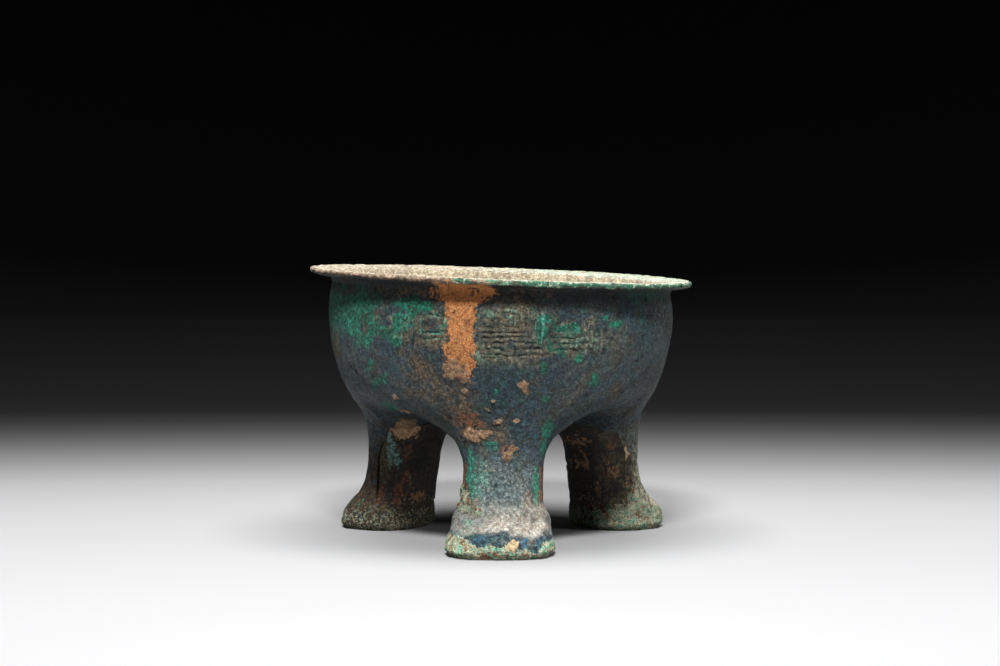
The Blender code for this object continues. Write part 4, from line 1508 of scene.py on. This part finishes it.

# %% [markdown]
# The neck under the rim is painted dark, as painted shadow of the rim and old dirt. Over it, from the rim down, runs
# the streak of orange soil, with pale and dark grains in it, and in the rim's shadow the soil is painted a brighter
# orange, as painted light. A scar of bare tan clay shows at one leg.

# %% Neck, soil and scar
# Painted shadow of the rim on the neck, with dark dirt.
bronze.tone(bronze.attribute("neck"), 1.0, 0.30)
soil = bronze.stored("soil", 0.0010, 1.3)
bronze.layer((138, 62, 26), (255, 184, 114), soil, 0.85, 0.00006)
# In the rim's shadow the soil is painted a brighter orange: painted light.
bronze.layer((212, 104, 48), (255, 190, 108), bronze.times(soil, bronze.attribute("neck")), 0.85)
bronze.layer((170, 124, 94), (250, 214, 184), bronze.within(soil, 0.0022, 0.60, 0.69, 0.45), 0.85)
bronze.layer((60, 32, 18), (120, 70, 42), bronze.within(soil, 0.0012, 0.55, 0.65, 0.85), 0.9, -0.00008)
bronze.layer((104, 76, 50), (206, 166, 124), bronze.stored("patch", 0.0014, 0.8), 0.9, 0.00006)
print("with the soil it has", len(bronze.tree.nodes), "nodes")

# %% [markdown]
# The rim's edge is tan, darker below with brown and painted shade, and green on one side, and the rim's top and the
# bowl's inside are covered with pale granular earth. Last, the relief's hollows get painted shade and its raised grit a
# painted highlight, and the layers are linked to the shader. Corroded metal is dull, so its shine is kept weak.

# %% Rim, inside and shader
bronze.layer((88, 66, 50), (226, 196, 166), bronze.attribute("rim_edge"), 0.8, 0.00005)
# Painted shade, with brown, on the downward face of the rim's edge.
bronze.layer((30, 22, 17), (112, 80, 60), bronze.within("rim_under", 0.0040, 0.28, 0.48), 0.8)
green_edge = bronze.stored("green_edge", 0.0012, 1.0)
bronze.layer((4, 50, 36), (88, 158, 122), green_edge, 0.8, 0.00006)
bronze.layer((130, 150, 116), (240, 248, 222), bronze.within(green_edge, 0.0018, 0.52, 0.60, 0.85), 0.8, 0.00006)
bronze.layer((8, 34, 24), (40, 66, 46), bronze.within(green_edge, 0.0015, 0.54, 0.62, 0.9), 0.8, -0.00008)
bronze.layer((80, 58, 42), (200, 160, 122), bronze.stored("lump", 0.0010, 0.6), 0.85, 0.00008)
bronze.layer((128, 110, 82), (232, 218, 188), bronze.stored("inside", 0.0008, 0.3), 0.9, 0.00006)
bronze.layer((112, 90, 62), (255, 244, 220), bronze.stored("rim_top", 0.0008, 0.3), 0.9, 0.00006)
bronze.layer((96, 66, 44), (190, 148, 108), bronze.within("rim_top", 0.0020, 0.62, 0.70, 0.4), 0.9)
bronze.layer((138, 156, 132), (236, 252, 232), bronze.within("rim_cool", 0.0030, 0.34, 0.56, 0.9), 0.9)
# Painted shade in the hollows and painted highlight on the raised grit.
bronze.tone(bronze.attribute("relief_shade"), 1.25, 0.45)
bronze.tree.nodes["Principled BSDF"].inputs["Specular IOR Level"].default_value = 0.32
mesh.materials.clear()
mesh.materials.append(bronze.finish(0.00080))
print("bronze is painted with", len(bronze.tree.nodes), "nodes")

# %% [markdown]
# The cores' clay is baked dark, and the corroding bronze has stained it rusty in upright streaks. Where light falls on
# the cores, on the front one and on the back ones' outer sides, the clay is painted lighter olive-brown, as painted
# light, and only there are the streaks. A tan scar shows near the top of the left one, with a pale blue-green drip
# under it, and the foot's crust climbs over their lower ends.

# %% Fired clay
clay = Painter("fired clay", (9, 8, 7), (48, 40, 32), 0.8, 0.0016)
clay.layer((5, 5, 5), (24, 21, 18), clay.mottle(0.0070, 0.44, 0.60), 0.85)
# Painted light: lighter olive-brown clay where light falls on the cores.
clay.layer((26, 24, 14), (98, 88, 58), clay.times(clay.stored("umber", 0.0022, 1.0), 0.8), 0.85)
rusty = clay.times(clay.stored("rust", 0.0022, 1.1, Position=clay.tall), 0.65)
clay.layer((50, 24, 14), (142, 80, 48), rusty, 0.9, 0.00004)
clay.layer((66, 44, 28), (142, 104, 68), clay.stored("specks", 0.0016, 1.2), 0.9, 0.00005)
specks = clay.within(clay.mottle(0.0016, 0.60, 0.68), 0.009, 0.46, 0.6)
clay.layer((80, 50, 30), (160, 110, 68), specks, 0.9, 0.00005)
clay.layer((104, 76, 50), (206, 166, 124), clay.stored("patch", 0.0014, 0.8), 0.9, 0.00006)
cracks = clay.within("patch", 0.0020, 0.60, 0.68, Position=clay.tall)
clay.layer((10, 8, 6), (40, 30, 22), cracks, 0.9, -0.00012)
clay.layer((26, 60, 58), (128, 170, 160), clay.stored("drip", 0.0012, 1.1), 0.8, 0.00004)
clay.layer((40, 38, 26), (140, 136, 104), clay.stored("crust", 0.0014, 1.1), 0.9, 0.00006)
clay_material = clay.finish(0.00042)
for core in cores.values():
    core.data.materials.clear()
    core.data.materials.append(clay_material)
print("clay is painted with", len(clay.tree.nodes), "nodes")

# %% [markdown]
# The vessel stands on a round paper sweep: nearly white round its feet, and darker further out, until it turns up into
# a dark wall. As the sweep is the same all round, the vessel can be looked at from any side. The change of tone is
# painted into the paper by its distance from the middle: a painted pool of light round the vessel that fades into dark.

# %% Paper sweep
FLAT, BEND, TOP, COLUMNS = 2.0, 0.7, 3.4, 72
profile = [(r, 0.0) for r in np.linspace(0.0, FLAT, 21)]
profile += [(FLAT + BEND * math.sin(a), BEND - BEND * math.cos(a)) for a in np.linspace(0.1, math.pi / 2, 14)]
profile += [(FLAT + BEND, z) for z in np.linspace(0.9, TOP, 8)]
turns = np.linspace(0, 2 * math.pi, COLUMNS, endpoint=False)
rows = np.array([[(r * math.cos(a), r * math.sin(a), z) for a in turns] for r, z in profile])
sweep_mesh = bpy.data.meshes.new("paper_sweep")
sweep_mesh.from_pydata(rows.reshape(-1, 3), [], quads_between(rows)[:, ::-1].tolist())
work = bmesh.new()
work.from_mesh(sweep_mesh)
bmesh.ops.remove_doubles(work, verts=work.verts, dist=1e-5)
work.to_mesh(sweep_mesh)
work.free()
sweep_mesh.shade_smooth()
sweep = add_mesh("paper_sweep", sweep_mesh)
print("paper sweep is", 2 * (FLAT + BEND), "m across")

# %% [markdown]
# The paper's tone depends on how far a place is from the middle, further across than in depth, and a colour ramp turns
# that distance into greys, from the bright floor to the dark wall: the painted fall-off of the light.

# %% Tones of the paper
paper = bpy.data.materials.new("graded paper")
paper.use_nodes = True
tree = paper.node_tree
place = add_node(tree, "ShaderNodeTexCoord").outputs["Object"]
oval_place = {"Vector": place, "Location": (0, 0.07, 0), "Scale": (0.175, 0.35, 0)}
shifted = add_node(tree, "ShaderNodeMapping", oval_place).outputs[0]
away = add_node(tree, "ShaderNodeVectorMath", {0: shifted}, operation="LENGTH").outputs["Value"]
ramp = add_node(tree, "ShaderNodeValToRGB", {"Fac": away})
# Painted light: the pool of light round the vessel and its fall-off into the dark wall.
FALLOFF_TONES = [
    (0.0, 0.324), (0.086, 0.316), (0.157, 0.308), (0.24, 0.3023), (0.307, 0.2888), (0.381, 0.2475), (0.466, 0.1643),
    (0.516, 0.12), (0.568, 0.0803), (0.624, 0.0475), (0.654, 0.0377), (0.685, 0.0268), (0.718, 0.0208), (0.752, 0.0135),
    (0.88, 0.012), (1.0, 0.013), (1.35, 0.015), (1.8, 0.0224), (2.2, 0.020), (2.43, 0.0062), (2.6, 0.0048),
    (2.85, 0.0032),
]
while len(ramp.color_ramp.elements) < len(FALLOFF_TONES):
    ramp.color_ramp.elements.new(0.5)
for element, (at, tone) in zip(ramp.color_ramp.elements, FALLOFF_TONES):
    element.position = 0.35 * at
    element.color = (0.765 * tone, 0.765 * tone, 0.775 * tone, 1)
tree.links.new(ramp.outputs["Color"], tree.nodes["Principled BSDF"].inputs["Base Color"])
tree.nodes["Principled BSDF"].inputs["Roughness"].default_value = 0.9
tree.nodes["Principled BSDF"].inputs["Specular IOR Level"].default_value = 0.0
sweep_mesh.materials.append(paper)
print("the paper goes through", len(FALLOFF_TONES), "tones")

# %% [markdown]
# Two soft lights do most of the work. A broad one overhead makes the rim's top nearly white and throws the rim's
# shadow on the neck. A smaller, stronger one stands in front, high up, and skims down the belly, so that grooves and
# grit show. The pale floor throws some of their light back up. Two weak lights at the sides draw the outline.


# %% Lights
def soft_light(name, place, aim, size, power):
    light = bpy.data.lights.new(name, "AREA")
    light.shape = "RECTANGLE"
    light.size, light.size_y = size
    light.energy = power
    made = bpy.data.objects.new(name, light)
    made.location = place
    made.rotation_euler = (Vector(aim) - Vector(place)).to_track_quat("-Z", "Y").to_euler()
    bpy.context.scene.collection.objects.link(made)


soft_light("overhead", (0, -0.10, 1.10), (0, 0, 0.05), (0.7, 0.5), 26)
soft_light("front", (-0.05, -0.95, 1.05), (0, 0, 0.05), (0.26, 0.20), 41)
soft_light("left", (-1.0, 0.30, 0.40), (0, 0, 0.05), (0.4, 0.8), 0.8)
soft_light("right", (1.0, -0.30, 0.35), (0, 0, 0.04), (0.3, 0.4), 4.2)
world = bpy.data.worlds.new("studio")
bpy.context.scene.world = world
world.use_nodes = True
world.node_tree.nodes["Background"].inputs["Color"].default_value = (1, 1, 1, 1)
world.node_tree.nodes["Background"].inputs["Strength"].default_value = 0.0025
bpy.context.scene.view_settings.view_transform = "Standard"
print("lights:", [light.name for light in bpy.data.lights])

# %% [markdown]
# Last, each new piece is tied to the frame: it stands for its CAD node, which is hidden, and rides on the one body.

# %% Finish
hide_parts("bronze_vessel")
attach(vessel, "root")
for name, core in cores.items():
    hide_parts(f"clay_core_{name}_leg")
    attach(core, "root")
